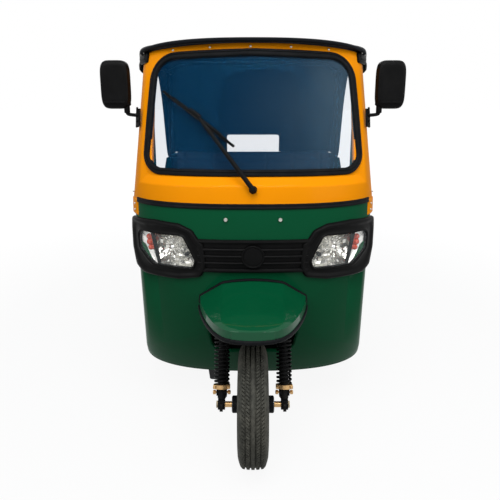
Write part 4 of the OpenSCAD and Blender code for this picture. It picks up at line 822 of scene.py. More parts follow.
def fork_outline():
    """Opening for the fork under the mudguard."""
    w, top, low, side = 0.195, 0.6744, 0.330, 0.598
    points = [(-w * 0.68, top), (w * 0.68, top), (w, side), (w * 0.92, low), (-w * 0.92, low), (-w, side)]
    return rounded(points, [0.04, 0.04, 0.04, 0.06, 0.06, 0.04])


def inside(points, outline):
    """True where a point lies inside an outline: it crosses the outline an odd number of times."""
    x, y = points[..., 0, None], points[..., 1, None]
    a, b = outline, np.roll(outline, -1, 0)
    spans = (a[:, 1] > y) != (b[:, 1] > y)
    with np.errstate(divide="ignore", invalid="ignore"):
        cross = a[:, 0] + (y - a[:, 1]) / (b[:, 1] - a[:, 1]) * (b[:, 0] - a[:, 0])
    return (spans & (x < cross)).sum(-1) % 2 == 1


def panel_round(hole, box, centre, rows, cols):
    """Grid in plan angle and height from a hole's outline out to the box of a panel."""
    (a0, z0), (a1, z1) = box
    stretch = (a1 - a0) / (z1 - z0)
    corner = np.array([(a0, z0), (a1, z0), (a1, z1), (a0, z1)])
    edge = along(corner, cols, closed=True)
    nearest = np.abs((edge[:, None] - corner) * [1.0, stretch]).sum(-1).argmin(0)
    edge[nearest] = corner
    d = (edge - centre) * [1.0, stretch]
    theta = np.arctan2(d[:, 1], d[:, 0])
    ring = polar(hole, centre, theta, stretch)
    return between(ring, edge, rows)


class THREE_WHEELER_OT_front_body(bpy.types.Operator):
    """Makes the smooth cowl and windscreen frame"""

    bl_idname = "three_wheeler.front_body"
    bl_label = "Cowl and windscreen frame"

    def execute(self, context):
        fork_middle, screen_middle = np.array([90.0, 0.49]), np.array([90.0, 1.37])
        lamp_gap, belt_gap = 0.006, 0.0003
        hole = to_skin(fork_outline())
        rows = np.concatenate([np.linspace(0, 0.72, 30), np.linspace(0.72, 1, 51)[1:]])
        box = ((0.0, COWL_LOW_Z), (180.0, BELT_Z))
        az = panel_round(hole, box, fork_middle, rows, 288)
        p = on_skin(az, self.strip(az))
        middle = (p[:-1] + p[1:] + np.roll(p, -1, 1)[:-1] + np.roll(p, -1, 1)[1:]) / 4
        front = np.stack([np.abs(middle[..., 0]), middle[..., 2]], -1)
        keep = ~inside(front, lamp_outline(lamp_gap))
        grid = one(p, wrap_cols=True, keep=keep)
        cowl = piece("cowl_skin", [grid], "green_paint", ["front_cowl"], solid=False)
        wall(outward(cowl, (0, -1, 0)), COWL_WALL)
        hole = to_skin(screen_outline(0.0))
        box = ((PILLAR_ANGLE, BELT_Z + belt_gap), (180.0 - PILLAR_ANGLE, HEADER_Z))
        az = panel_round(hole, box, screen_middle, np.linspace(0, 1, 28), 320)
        grid = one(on_skin(az, np.zeros(az.shape[:2])), wrap_cols=True)
        screen = piece("screen_frame_skin", [grid], "yellow_paint", ["windscreen_frame"],
                       solid=False, sharp=30.0)
        wall(outward(screen, (0, -1, 0)), COWL_WALL)
        return {"FINISHED"}

    def strip(self, az):
        """Lift of the cowl's outer strip: a smooth step back outside a rounded box in the front view."""
        corner_r, side_w, foot_h, step = 0.060, 0.036, 0.030, 0.007
        p = skin(az[..., 0], az[..., 1])
        side = np.abs(p[..., 0]) - (skin_half(az[..., 1]) - side_w - corner_r)
        foot = COWL_LOW_Z + foot_h + corner_r - p[..., 2]
        beyond = np.hypot(np.maximum(side, 0), np.maximum(foot, 0))
        out = beyond + np.minimum(np.maximum(side, foot), 0) - corner_r
        return -step * smooth(out / step)


def disc(outline, centre, cols, shares):
    """Front view grid from a centre out to a star-shaped outline."""
    theta = np.linspace(0, 2 * np.pi, cols, endpoint=False)
    rim = polar(outline, np.asarray(centre), theta)
    return between(np.broadcast_to(np.asarray(centre, float), rim.shape), rim, shares)


class THREE_WHEELER_OT_windscreen(bpy.types.Operator):
    """Makes the windscreen's rubber and glass and the belt strip"""

    bl_idname = "three_wheeler.windscreen"
    bl_label = "Windscreen and belt strip"

    def execute(self, context):
        w, overlap = looks().gasket_width, 0.001
        pane_inset, pane_middle, pane_front, pane_back = 0.023, (0.0, 1.36), -0.005, -0.009
        belt_from, belt_to = 27.0, 153.0
        path = to_skin(along(screen_outline(w / 2 - overlap), 480, closed=True))
        lips = np.array([
            (-1, -10), (-1, 3), (-0.85, 6.6), (-0.6, 7.8), (-0.3, 7.6), (-0.14, 4.6),
            (0.12, 4.6), (0.28, 7.0), (0.6, 7.0), (0.86, 5.4), (1, 2), (1, -10),
        ]) * [w / 2, MM]
        ring = one(skin_strip(path, lips, closed=True), True, True)
        piece("screen_rubber", [ring], "black_rubber", ["windscreen_gasket"])
        pane = disc(screen_outline(pane_inset), pane_middle, 200, np.linspace(0, 1, 18))
        grids = shell(raised(pane, pane_front), raised(pane, pane_back))
        piece("screen_glass", grids, "tinted_glass", ["windscreen_glass"])
        a = np.linspace(belt_from, belt_to, 180)
        path = np.stack([a, np.full_like(a, BELT_Z)], -1)
        bead = np.array([
            (-11, -1), (-11, 3), (-9, 5.4), (-5, 6), (-3, 4.6),
            (3, 4.6), (5, 6), (9, 5.4), (11, 3), (11, -1),
        ]) * MM
        piece("belt_moulding", [closed_bar(skin_strip(path, bead))], "black_rubber", ["belt_strip"])
        return {"FINISHED"}


LAMP_CENTRE = (0.360, 0.822)


def lobe_outline():
    """Outer edge of the lamp mask's lobe on the vehicle's left."""
    points = [
        (0.518, 0.934), (0.400, 0.944), (0.298, 0.937), (0.243, 0.913), (0.219, 0.876),
        (0.198, 0.86), (0.190, 0.79), (0.190, 0.752), (0.212, 0.718), (0.300, 0.702),
        (0.468, 0.702), (0.502, 0.724), (0.517, 0.80),
    ]
    radii = [0.012, 0.06, 0.05, 0.034, 0.010, 0.01, 0.02, 0.022, 0.02, 0.04, 0.02, 0.02, 0.04]
    return rounded(points, radii)


class THREE_WHEELER_OT_lamp_mask(bpy.types.Operator):
    """Makes the lamp mask with its rims, grille slats and blank round badge"""

    bl_idname = "three_wheeler.lamp_mask"
    bl_label = "Lamp mask and grille"

    def execute(self, context):
        theta = np.linspace(0, 2 * np.pi, 220, endpoint=False)
        centre = np.array(LAMP_CENTRE)
        inner, outer = polar(lamp_outline(0.001), centre, theta), polar(lobe_outline(), centre, theta)
        rim = np.array([
            (0, -8), (0, 9), (0.03, 11.5), (0.07, 12.6), (0.11, 12.4), (0.15, 10.8), (0.19, 8.6),
            (0.25, 7.4), (0.38, 7.0), (0.5, 7.4), (0.56, 8.8), (0.62, 11.8), (0.68, 14.4), (0.76, 15.6),
            (0.84, 15.4), (0.90, 13.8), (0.95, 11.0), (0.98, 6.5), (1.0, 1.5), (1.0, -1),
        ]) * [1, MM]
        lobe = raised(between(inner, outer, rim[:, 0]), rim[:, 1:])
        back = np.stack([lobe[-1], lobe[0]])
        grids = both_sides([one(lobe, wrap_cols=True), one(back, wrap_cols=True)]) + self.grille()
        piece("lamp_mask_moulding", grids, "black_plastic", ["lamp_mask"], sharp=30.0)
        return {"FINISHED"}

    def grille(self):
        """Grille between the lobes: a back plate, three slats, two end bars and a blank round badge."""
        half, low, high = 0.222, 0.744, 0.876
        slat_places, end_places = (0.781, 0.809, 0.837), (0.8705, 0.750)
        plate_front, plate_back = 0.0025, 0.0005
        x = np.linspace(-half, half, 120)
        plate = np.stack(np.meshgrid(x, np.linspace(low, high, 16)), -1)
        grids = shell(raised(plate, plate_front), raised(plate, plate_back), False)
        slat = np.array([(-6, 2), (-5, 9), (-3, 12), (2, 13), (5, 11), (6, 6), (6, 2)]) * MM
        end_bar = np.array([(-8, 1), (-8, 9), (-5, 13.5), (0, 15), (5, 13.5), (8, 9), (8, 1)]) * MM
        bars = [(z, slat) for z in slat_places] + [(z, end_bar) for z in end_places]
        for z, section in bars:
            path = to_skin(np.stack([x, np.full_like(x, z)], -1))
            grids.append(closed_bar(skin_strip(path, section)))
        ring = np.array([
            (0.0, 16.0), (0.5, 15.6), (0.80, 14.6), (0.83, 13.4), (0.86, 13.6),
            (0.90, 16.4), (0.96, 16.8), (1.0, 14.8), (1.0, 1.0), (0.0, 1.0),
        ]) * [1, MM]
        badge_at, badge_r = (0.0, 0.810), 0.046
        badge = disc(circle(badge_r, 64) + badge_at, badge_at, 64, ring[:, 0])
        return grids + [one(raised(badge, ring[:, 1:]), wrap_cols=True)]


class THREE_WHEELER_OT_headlamps(bpy.types.Operator):
    """Makes the headlamps: clear covers, faceted reflectors, bulbs and outer indicators"""

    bl_idname = "three_wheeler.headlamps"
    bl_label = "Headlamps"

    def execute(self, context):
        gap, lift, swell_out, thickness = 0.0005, 0.0085, 0.005, 0.003
        share = np.linspace(0, 1, 22)
        cover = disc(lamp_outline(-gap), LAMP_CENTRE, 160, share)
        out = lift + swell_out * (1 - share[:, None] ** 4)
        glass = shell(raised(cover, out), raised(cover, out - thickness))
        piece("lamp_covers", both_sides(glass), "clear_glass", ["headlamp_lenses"])
        finishes = ["reflector", "white_reflector", "black_plastic", "amber_lens"]
        piece("lamp_reflectors", both_sides(self.bowl()), finishes, ["headlamp_bowls"], sharp=4.0)
        return {"FINISHED"}

    def bowl(self):
        """Bowl on the vehicle's left: a paraboloid with facets of crossed sines, a fin, a tray and bulbs."""
        rings, spokes = 10, 48
        rim_depth, bowl_depth, facet_depth, rim_lap = 0.006, 0.058, 0.0045, 0.002
        tray_middle, tray_rim, tray_depth = (0.444, 0.830), 0.004, 0.012
        fin = np.array([(0.393, 0.757), (0.421, 0.888)])
        rim = lamp_outline(rim_lap)
        r = np.linspace(0.0, 1.0, rings)
        ring, spoke = np.arange(rings)[:, None], np.arange(spokes)[None]
        deep = -rim_depth - bowl_depth * (1 - r[:, None] ** 2)
        facet = facet_depth * np.sin(2.4 * ring + 1.7 * spoke) * np.cos(0.9 * spoke)
        facet = np.where((ring > 0) & (ring < rings - 1), facet, 0.0)
        grids = [one(raised(disc(rim, LAMP_CENTRE, spokes, r), deep + facet), wrap_cols=True)]
        edge = mix(fin[0], fin[1], np.linspace(0, 1, 24)[:, None])
        blade = np.array([(-1.6, -14), (-1.6, 4), (-0.8, 6), (0.8, 6), (1.6, 4), (1.6, -14)]) * MM
        grids.append(closed_bar(skin_strip(to_skin(edge), blade), 2))
        inner = np.interp(rim[:, 1], fin[:, 1], fin[:, 0])
        rim = np.stack([np.maximum(rim[:, 0], inner), rim[:, 1]], -1)
        hollow = -tray_rim - tray_depth * (1 - r[:, None] ** 2)
        tray = raised(disc(rim, tray_middle, spokes, r), hollow)
        grids.append(one(tray, wrap_cols=True, number=1))
        t = np.linspace(0, np.pi / 2, 6)
        # Columns: x, z, radius, back, front, finish
        for x, z, radius, back, front, number in (
            (0.345, 0.828, 0.013, -0.052, -0.020, 1),
            (0.345, 0.828, 0.020, -0.060, -0.048, 1),
            (0.272, 0.808, 0.0095, -0.020, 0.003, 2),
            (0.444, 0.862, 0.0125, -0.018, 0.001, 3),
            (0.441, 0.840, 0.0150, -0.018, 0.003, 3),
            (0.437, 0.817, 0.0125, -0.018, 0.001, 3),
        ):
            profile = np.stack([radius * np.cos(t), front - radius + radius * np.sin(t)], -1)
            profile = np.concatenate([[(0.0, back), (radius, back)], profile])
            bulb = at_skin(x, z, turned(profile, 20, (0, 0, 0), "z"))
            grids.append(one(bulb, wrap_rows=True, number=number))
        return grids


# Columns: reach share, half width share, crown share
MUDGUARD = [
    [-0.15, 1.00, 1.06], [0.00, 1.00, 1.00], [0.18, 0.965, 0.86], [0.36, 0.90, 0.735],
    [0.54, 0.82, 0.645], [0.70, 0.725, 0.575], [0.83, 0.625, 0.50], [0.91, 0.54, 0.445],
    [0.96, 0.465, 0.40], [0.985, 0.41, 0.375], [1.00, 0.35, 0.355],
]
MUDGUARD_RIM_Z, MUDGUARD_HALF, MUDGUARD_RISE, MUDGUARD_REACH = 0.590, 0.218, 0.118, 0.326


def mudguard(reach, k, inset=0.0):
    """Beak of the front mudguard over its reach and a share k across it.

    A crowned middle falls past two creases to an edge, then an upright wall drops to the rim.
    Past a reach of 1 the nose's wall drops in the same way.
    """
    top_share, wall_share = 0.8, 0.2
    reach, k = np.asarray(reach)[:, None], np.asarray(k)[None]
    w, h = curve_table(np.minimum(reach[:, 0], 1.0), MUDGUARD).T[..., None]
    half, rise = MUDGUARD_HALF * w - inset, MUDGUARD_RISE * h - inset
    drop = np.clip((np.abs(k) - top_share) / wall_share, 0, 1)
    front = np.clip((reach - 1.0) / wall_share, 0, 1)
    x = half * np.clip(np.abs(k) / top_share, 0, 1)
    crease_x, crease_in, nose_crown, root_crown, wall_h, crease_r = 0.126, 0.014, 0.003, 0.011, 0.040, 0.004
    nose_bulge, nose_lean, wall_lean = 0.012, 0.005, 0.004
    crease = np.minimum(crease_x - crease_in * reach, 0.86 * half)
    crown = nose_crown + root_crown * np.clip(1 - reach, 0, 1)
    edge = np.minimum(wall_h, 0.92 * rise)
    slope = (rise - crown - edge) / (half - crease)
    past = x - crease
    fall = slope * (past + np.hypot(past, crease_r)) / 2
    top = np.maximum(rise - crown * np.minimum(x / crease, 1.0) ** 2 - fall, 0.9 * edge)
    nose = nose_bulge * smooth((reach - 0.8) / 0.2) * (1 - (x / half) ** 2) + nose_lean * front
    root_y = FRONT_AXLE[1] + 0.170
    y = root_y - MUDGUARD_REACH * np.minimum(reach, 1.0) - nose + inset * smooth(reach * 2 - 1)
    z = MUDGUARD_RIM_Z + top * (1 - drop) * (1 - front)
    return np.stack([np.sign(k) * (x + wall_lean * drop), y + 0 * x, z], -1)


class THREE_WHEELER_OT_mudguard(bpy.types.Operator):
    """Makes the front mudguard with its black lip and the beading at its root"""

    bl_idname = "three_wheeler.mudguard"
    bl_label = "Front mudguard"

    def execute(self, context):
        top, tip, nose = np.linspace(-0.05, 0.9, 40), np.linspace(0.91, 1.0, 18), np.linspace(1.02, 1.2, 8)
        reach = np.concatenate([top, tip, nose])
        k = np.concatenate([np.linspace(0, 0.8, 49), np.linspace(0.81, 1.0, 9)])
        k = np.concatenate([-k[:0:-1], k])
        grids = shell(mudguard(reach, k), mudguard(reach, k, 0.004), False)
        piece("mudguard_skin", grids, "mudguard_paint", ["mudguard"])
        rim = mudguard(np.linspace(0.05, 1.2, 140), np.array([-1.0, 1.0]))
        front = mudguard(np.array([1.2]), np.linspace(-0.79, 0.79, 60))[0]
        path = along(np.concatenate([rim[:, 0], front, rim[::-1, 1]]), 260) + [0, 0, 0.003]
        lip = tube(path, circle(0.006, 12, 0.0085))
        root = mudguard(np.array([0.0]), np.linspace(-0.97, 0.97, 140))[0]
        bead = np.array([(-6, -1), (-5, 5), (0, 8), (5, 5), (6, -1)]) * MM
        beading = skin_strip(to_skin(root[:, [0, 2]]), bead)
        piece("mudguard_lip", [closed_bar(lip), closed_bar(beading)], "black_rubber")
        return {"FINISHED"}


def tyre(centre, around, groove, sipe):
    """A tyre round X: crowned tread with four grooves and slanting sipes, shoulders, sidewalls and beads."""
    half, tread = TYRE_HALF, TYRE_HALF * 0.76
    crown_drop, shoulder_drop = 0.0045, 0.004
    groove_half, groove_slope, sipe_half, sipe_slope = 0.0019, 0.0014, 0.0011, 0.0013
    ridge_h, ridge_w = 0.0008, 0.0012
    side = np.array([(0.1274, 0.040), (0.1285, 0.0425), (0.1400, 0.0430), (0.1500, 0.0462), (0.1650, 0.0535),
                     (0.1820, half), (0.1960, 0.0578), (0.2080, 0.0545), (0.2180, 0.0510), (0.2250, 0.0480)])
    across = np.linspace(tread, -tread, 91)
    shoulder = smooth((np.abs(across) / tread - 0.86) / 0.14)
    crown = TYRE_R - crown_drop * (across / tread) ** 2 - shoulder_drop * shoulder
    profile = np.concatenate([side, np.stack([crown, across], -1), (side * [1, -1])[::-1]])
    t = np.linspace(0, 2 * np.pi, around, endpoint=False)[:, None]
    r, s = profile.T[:, None]
    on_tread = (np.abs(s) <= tread + 1e-9) & (r > 0.226)
    places = np.array([-0.62, -0.21, 0.21, 0.62]) * tread
    away = np.abs(s[..., None] - places).min(-1)
    deep = groove * (1 - smooth((away - groove_half) / groove_slope))
    sipes, pitch = 106, 0.0140
    slant = t / (2 * np.pi) * sipes + 0.9 * np.abs(s + 0.0 * t) / pitch
    cut = np.abs((slant % 1.0) - 0.5) * pitch
    rib = (away > 0.0034) & (np.abs(s) > 0.21 * tread) & (np.abs(s) < 0.9 * tread)
    slit = sipe * (1 - smooth((cut - sipe_half) / sipe_slope))
    deep = np.maximum(deep, np.where(rib, slit, 0.0))
    ridge = sum(ridge_h * np.exp(-(((r - place) / ridge_w) ** 2)) for place in (0.172, 0.204))
    r = r - np.where(on_tread, deep, 0.0)
    s = s + np.sign(s) * ridge + 0.0 * t
    return np.stack([s, r * np.cos(t), r * np.sin(t)], -1) + centre


class THREE_WHEELER_OT_tyres(bpy.types.Operator):
    """Makes the three tyres with their tread"""

    bl_idname = "three_wheeler.tyres"
    bl_label = "Tyres"

    def execute(self, context):
        look = looks()
        rear = REAR_AXLE * [-1, 1, 1]
        for name, node, body, centre, around in (
            ("front_tread", "front_tyre", "front_wheel_set", FRONT_AXLE, 636),
            ("rear_tread_left", "rear_tyre_left", "rear_wheel_set_left", REAR_AXLE, 424),
            ("rear_tread_right", "rear_tyre_right", "rear_wheel_set_right", rear, 424)):
            p = tyre(centre, around, look.groove_depth, look.sipe_depth)
            piece(name, [one(p, True, True)], "tyre_rubber", [node], body, sharp=34.0)
        return {"FINISHED"}


STEER_SIDE = np.array([1.0, 0.0, 0.0])
STEER_BACK = np.cross(STEER_AXIS, STEER_SIDE)


def on_steering(x, back, up):
    """Points beside the steering axis: x across, back behind the axis, up along it."""
    x, back, up = np.broadcast_arrays(np.asarray(x, float), back, up)
    level = STEER_POINT + x[..., None] * STEER_SIDE + back[..., None] * STEER_BACK
    return level + up[..., None] * STEER_AXIS


class THREE_WHEELER_OT_suspension(bpy.types.Operator):
    """Makes the front suspension's coil springs, bushes, bolts, nuts and axle blocks, and the hub covers"""

    bl_idname = "three_wheeler.suspension"
    bl_label = "Front springs"

    def execute(self, context):
        wire, turns, leg, ahead = looks().spring_wire, 17, 0.126, -0.020
        seat, top, cap, coil = 0.062, 0.342, 0.009, 0.064
        low, high, r = seat + wire / 2, top - cap - wire / 2, (coil - wire) / 2
        t = np.linspace(0, 1, turns * 36)
        phi = 2 * np.pi * turns * t
        cover = np.array([(0.0135, 0.0), (0.0135, 0.0235), (0.029, 0.0235), (0.0335, 0.020), (0.0335, 0.0)])
        coils, fittings, covers = [], [], []
        across = np.array([(-1.0, 0, 0), (1.0, 0, 0)])
        for side in (-1, 1):
            x, back = side * (leg + 0 * t) + r * np.cos(phi), ahead + r * np.sin(phi)
            coils.append(rod(on_steering(x, back, mix(low, high, t)), wire / 2, 10, up=STEER_AXIS))
            eye = on_steering(side * leg, ahead, 0.031)
            clamp = on_steering(side * leg, ahead - 0.020, 0.054)
            axle = FRONT_AXLE + [side * 0.092, 0, 0]
            block = FRONT_AXLE + [side * leg, 0, 0]
            # Columns: middle, half length, radius, facets, finish
            for spot, half, radius, n, number in (
                (eye, 0.021, 0.0145, 18, 1),
                (eye, 0.036, 0.0048, 12, 0),
                (axle, 0.024, 0.0115, 18, 0),
                (clamp, 0.030, 0.0045, 12, 0),
                (block, 0.014, 0.021, 28, 1),
            ):
                fittings.append(rod(spot + across * half, radius, n, number, STEER_AXIS))
            hub = FRONT_AXLE + [side * 0.0605, 0, 0]
            covers.append(one(turned(cover * [1, side], 48, hub, "x"), True, True))
            for spot, far, size in ((eye, 0.027, 0.0098), (clamp, 0.026, 0.0085)):
                for way in (-1, 1):
                    nut = facing(hexagon(size, 0.008), spot + [way * far, 0, 0], (way, 0, 0))
                    fittings.append(one(nut, wrap_rows=True))
        piece("hub_covers", covers, "black_rubber", body="front_wheel_set")
        piece("shock_fittings", fittings, ["gold_steel", "black_rubber"], body="steering")
        piece("spring_coils", coils, "black_steel", ["front_springs"], "steering")
        return {"FINISHED"}


TAIL_Y, TUB_TOP_Z, HOOD_RISE, HOOD_TOP_Z = 1.269, 1.0, 0.086, 1.700
HOOD_LEAN = math.tan(math.radians(12.0))
HOOD_FRONT_HALF, HOOD_REAR_HALF, HOOD_SKIRT, HEADER_GAP, TUB_GAP = 0.482, 0.632, 0.008, 0.012, 0.0003
BOWS = [0.0, 0.30, 0.62, 0.84, 1.0]
# Columns: station share, half width share, crown share, drop share, shoulder share
HOOD = [
    [0.00, 0.00, 0.00, 0.00, 0.42], [0.06, 0.12, 0.25, 0.02, 0.60], [0.16, 0.34, 0.62, 0.05, 0.80],
    [0.30, 0.62, 0.90, 0.07, 1.00], [0.46, 0.85, 1.00, 0.08, 1.00], [0.62, 0.97, 1.00, 0.09, 1.00],
    [0.74, 1.00, 0.95, 0.12, 1.00], [0.785, 1.00, 0.92, 0.42, 1.00], [0.82, 1.00, 0.88, 0.94, 1.00],
    [0.84, 1.00, 0.86, 1.00, 1.00], [0.93, 1.00, 0.70, 1.00, 1.00], [1.00, 1.00, 0.45, 1.00, 1.00],
]


def hood_sheet(u, inset, sag):
    """Hood's cloth: arches of the fourth power that widen rearwards, with flat sides let down at the back.

    At the front the arch is an ellipse along the header. Between the bows the crown sags by a squared sine.
    """
    w, crown, drop, high = curve_table(u, HOOD).T[..., None]
    half = mix(HOOD_FRONT_HALF, HOOD_REAR_HALF, w)
    shoulder = mix(HEADER_Z + HEADER_GAP, HOOD_TOP_Z, crown) - HOOD_RISE * high
    low = mix(shoulder - HOOD_SKIRT, TUB_TOP_Z + TUB_GAP, np.clip(drop, 0.0, 1.0))
    dip = sag * np.sin(np.pi * np.interp(u, BOWS, np.arange(5.0)))[:, None] ** 2
    quarter = 45 * (1 - np.cos(np.pi * np.linspace(0, 1, 28)))
    a = np.radians(np.concatenate([quarter, 180 - quarter[-2::-1]]))[None]
    flank_z = mix(low, shoulder, np.linspace(0, 1, 14)[None, :-1])
    flank_x = half - inset + 0 * flank_z
    e = mix(0.95, 0.5, smooth(u / 0.14))[:, None]
    x = np.concatenate([flank_x, (half - inset) * power(np.cos(a), e), -flank_x[:, ::-1]], 1)
    crest = shoulder + (HOOD_RISE * high - inset) * power(np.sin(a), e) - dip * np.sin(a) ** 2
    z = np.concatenate([flank_z, crest, flank_z[:, ::-1]], 1)
    u = u[:, None]
    lean = np.clip(u - 0.5, 0, None) / 0.5 * HOOD_LEAN * np.clip(z - TUB_TOP_Z, 0, None)
    header, arch = 0.190 * np.abs(x / half) ** 3.3, 0.120 * (x / half) ** 2
    bow = np.clip(1 - u / 0.25, 0, None) * mix(header, arch, smooth(u / 0.2))
    y = FRONT_AXLE[1] + mix(0.338, TAIL_Y - FRONT_AXLE[1], u) + bow - lean
    return np.stack([x, y, z], -1)


class THREE_WHEELER_OT_hood(bpy.types.Operator):
    """Makes the hood's cloth with its rolled front edge, hems and welts, and the rear curtain"""

    bl_idname = "three_wheeler.hood"
    bl_label = "Hood and rear curtain"

    def execute(self, context):
        sag = looks().hood_sag
        u = np.unique(np.round(np.concatenate([np.linspace(0, 1, 101), np.array(HOOD)[:, 0]]), 5))
        outer = hood_sheet(u, 0.0, sag)
        grids = shell(outer, hood_sheet(u, 0.003, sag), False)
        hood = piece("hood_cloth", grids, "hood_canvas", ["hood"], sharp=60.0)
        front = along(outer[0] + [0.0, 0.002, -0.002], 160)
        trim = [rod(front, 0.0085, 12, up=(0, 1, 0))]
        for column in (0, -1):
            trim.append(rod(along(outer[:, column], 200), 0.0045, 10, up=(1, 0, 0)))
        welt = circle(0.009, 10, 0.0022)
        for share in BOWS[1:-1]:
            line = hood_sheet(np.array([share]), -0.001, 0.0)[0]
            trim.append(closed_bar(tube(along(line, 140), welt[:, ::-1], up=(0, 1, 0))))
        hems = piece("hood_hems", trim, "hood_canvas")
        self.curtain()
        return {"FINISHED"}

    def curtain(self):
        """Rear curtain: a leaning plane under the hood's last arch, with faint folds and an opening."""
        w, side, sill = 0.6288, 0.220, 1.150
        shoulder = mix(HEADER_Z + HEADER_GAP, HOOD_TOP_Z, HOOD[-1][2]) - HOOD_RISE
        right, left = np.linspace(-w, -side, 40), np.linspace(side, w, 40)
        x = np.concatenate([right, np.linspace(-side, side, 41)[1:-1], left])
        top = shoulder + (HOOD_RISE - 0.0033) * (1 - np.abs(x / w) ** 4) ** 0.25
        low = np.linspace(TUB_TOP_Z + TUB_GAP, sill, 14)[:, None] + 0 * x
        z = np.concatenate([low, mix(sill, top, np.linspace(0, 1, 40)[1:, None])])
        fold = 0.0022 * np.sin(x * 46.0) * smooth((np.abs(x) - side) / 0.1) * smooth((w - np.abs(x)) / 0.08)
        fold = fold + 0.0016 * np.sin(x * 30.0) * smooth((z - sill - 0.03) / 0.1) * smooth((top - z) / 0.1)
        p = np.stack([x + 0 * z, TAIL_Y - HOOD_LEAN * (z - TUB_TOP_Z) - 0.0025 + fold, z], -1)
        keep = np.ones((len(z) - 1, len(x) - 1), bool)
        keep[:13] = np.abs(x[1:] + x[:-1]) / 2 > side
        cloth = piece("curtain_cloth", [one(p, keep=keep)], "hood_canvas", ["hood_back"], solid=False)
        wall(outward(cloth, (0, 1, 0)), 0.0025)
        corners = rounded([(-side, 0.9), (side, 0.9), (side, sill), (-side, sill)], [0.01, 0.01, 0.03, 0.03])
        ends = np.array([(side, TUB_TOP_Z + 0.004)]), np.array([(-side, TUB_TOP_Z + 0.004)])
        arch = along(corners[corners[:, 1] > 0.95], 120)
        rim_x, rim_z = along(np.concatenate([ends[0], arch, ends[1]]), 140).T
        line = np.stack([rim_x, TAIL_Y - HOOD_LEAN * (rim_z - TUB_TOP_Z), rim_z], -1)
        binding = tube(line, circle(0.011, 12, 0.0028), up=(0, 1, HOOD_LEAN))
        hem = piece("curtain_binding", [closed_bar(binding)], "hood_canvas")


def soft_box(half, r):
    """A box with round edges: rings of a rounded rectangle that draw in towards the top and the bottom."""
    t = np.linspace(0, np.pi / 2, 7)
    inset = np.concatenate([r * (1 - np.sin(t)), r * (1 - np.sin(t[::-1]))])
    z = np.concatenate([-half[2] + r * (1 - np.cos(t)), half[2] - r * (1 - np.cos(t[::-1]))])
    corner = np.array([(-1, -1), (1, -1), (1, 1), (-1, 1)])
    flat = [rounded(corner * (half[:2] - k), 1.5 * r - k, 8) for k in inset]
    rings = [np.concatenate([ring, np.full((len(ring), 1), h)], 1) for ring, h in zip(flat, z)]
    return capped(np.stack(rings))


def coordinates(mesh, kind="vertices", field="co"):
    """Vertex places or normals of a mesh as an array."""
    made = np.empty(len(getattr(mesh, kind)) * 3, np.float32)
    getattr(mesh, kind).foreach_get(field, made)
    return made.reshape(-1, 3).astype(float)


def settle(obj, kind, **settings):
    """Adds a modifier, takes its result as the object's mesh and drops it."""
    modifier = obj.modifiers.new(kind.lower(), kind)
    for key, value in settings.items():
        setattr(modifier, key, value)
    made = bpy.data.meshes.new_from_object(obj.evaluated_get(bpy.context.evaluated_depsgraph_get()))
    obj.modifiers.remove(modifier)
    old, obj.data = obj.data, made
    bpy.data.meshes.remove(old)
    return obj


def swell(obj, held_z, cap):
    """Cloth under pressure with its base held: a few frames, and no point moves further than the cap."""
    scene, frames, pressure = bpy.context.scene, 20, 4.0
    rest = coordinates(obj.data)
    held = obj.vertex_groups.new(name="held")
    held.add(np.flatnonzero(rest[:, 2] < held_z).tolist(), 1.0, "REPLACE")
    cloth = obj.modifiers.new("cloth", "CLOTH")
    cloth.settings.quality = 6
    cloth.settings.use_pressure = True
    cloth.settings.uniform_pressure_force = pressure
    cloth.settings.effector_weights.gravity = 0.0
    cloth.settings.vertex_group_mass = held.name
    cloth.point_cache.frame_start, cloth.point_cache.frame_end = 1, frames
    for number in range(1, frames + 1):
        scene.frame_set(number)
    made = obj.evaluated_get(bpy.context.evaluated_depsgraph_get()).to_mesh()
    move = coordinates(made) - rest
    obj.modifiers.remove(cloth)
    obj.vertex_groups.remove(held)
    scene.frame_set(1)
    far = np.linalg.norm(move, axis=1, keepdims=True)
    move = move * np.minimum(1.0, cap / np.maximum(far, 1e-9))
    obj.data.vertices.foreach_set("co", (rest + move).astype(np.float32).ravel())
    obj.data.update()


def sewn(p, n, way, lines, deep, wide):
    """Draws points in along their normals near sewn lines, given as (axis, place), where they face a way."""
    share = smooth((n @ np.asarray(way, float) - 0.1) / 0.5)
    near = sum(np.exp(-(((p[:, axis] - place) / wide) ** 2)) for axis, place in lines)
    return p - n * (deep * share * np.minimum(near, 1.0))[:, None]


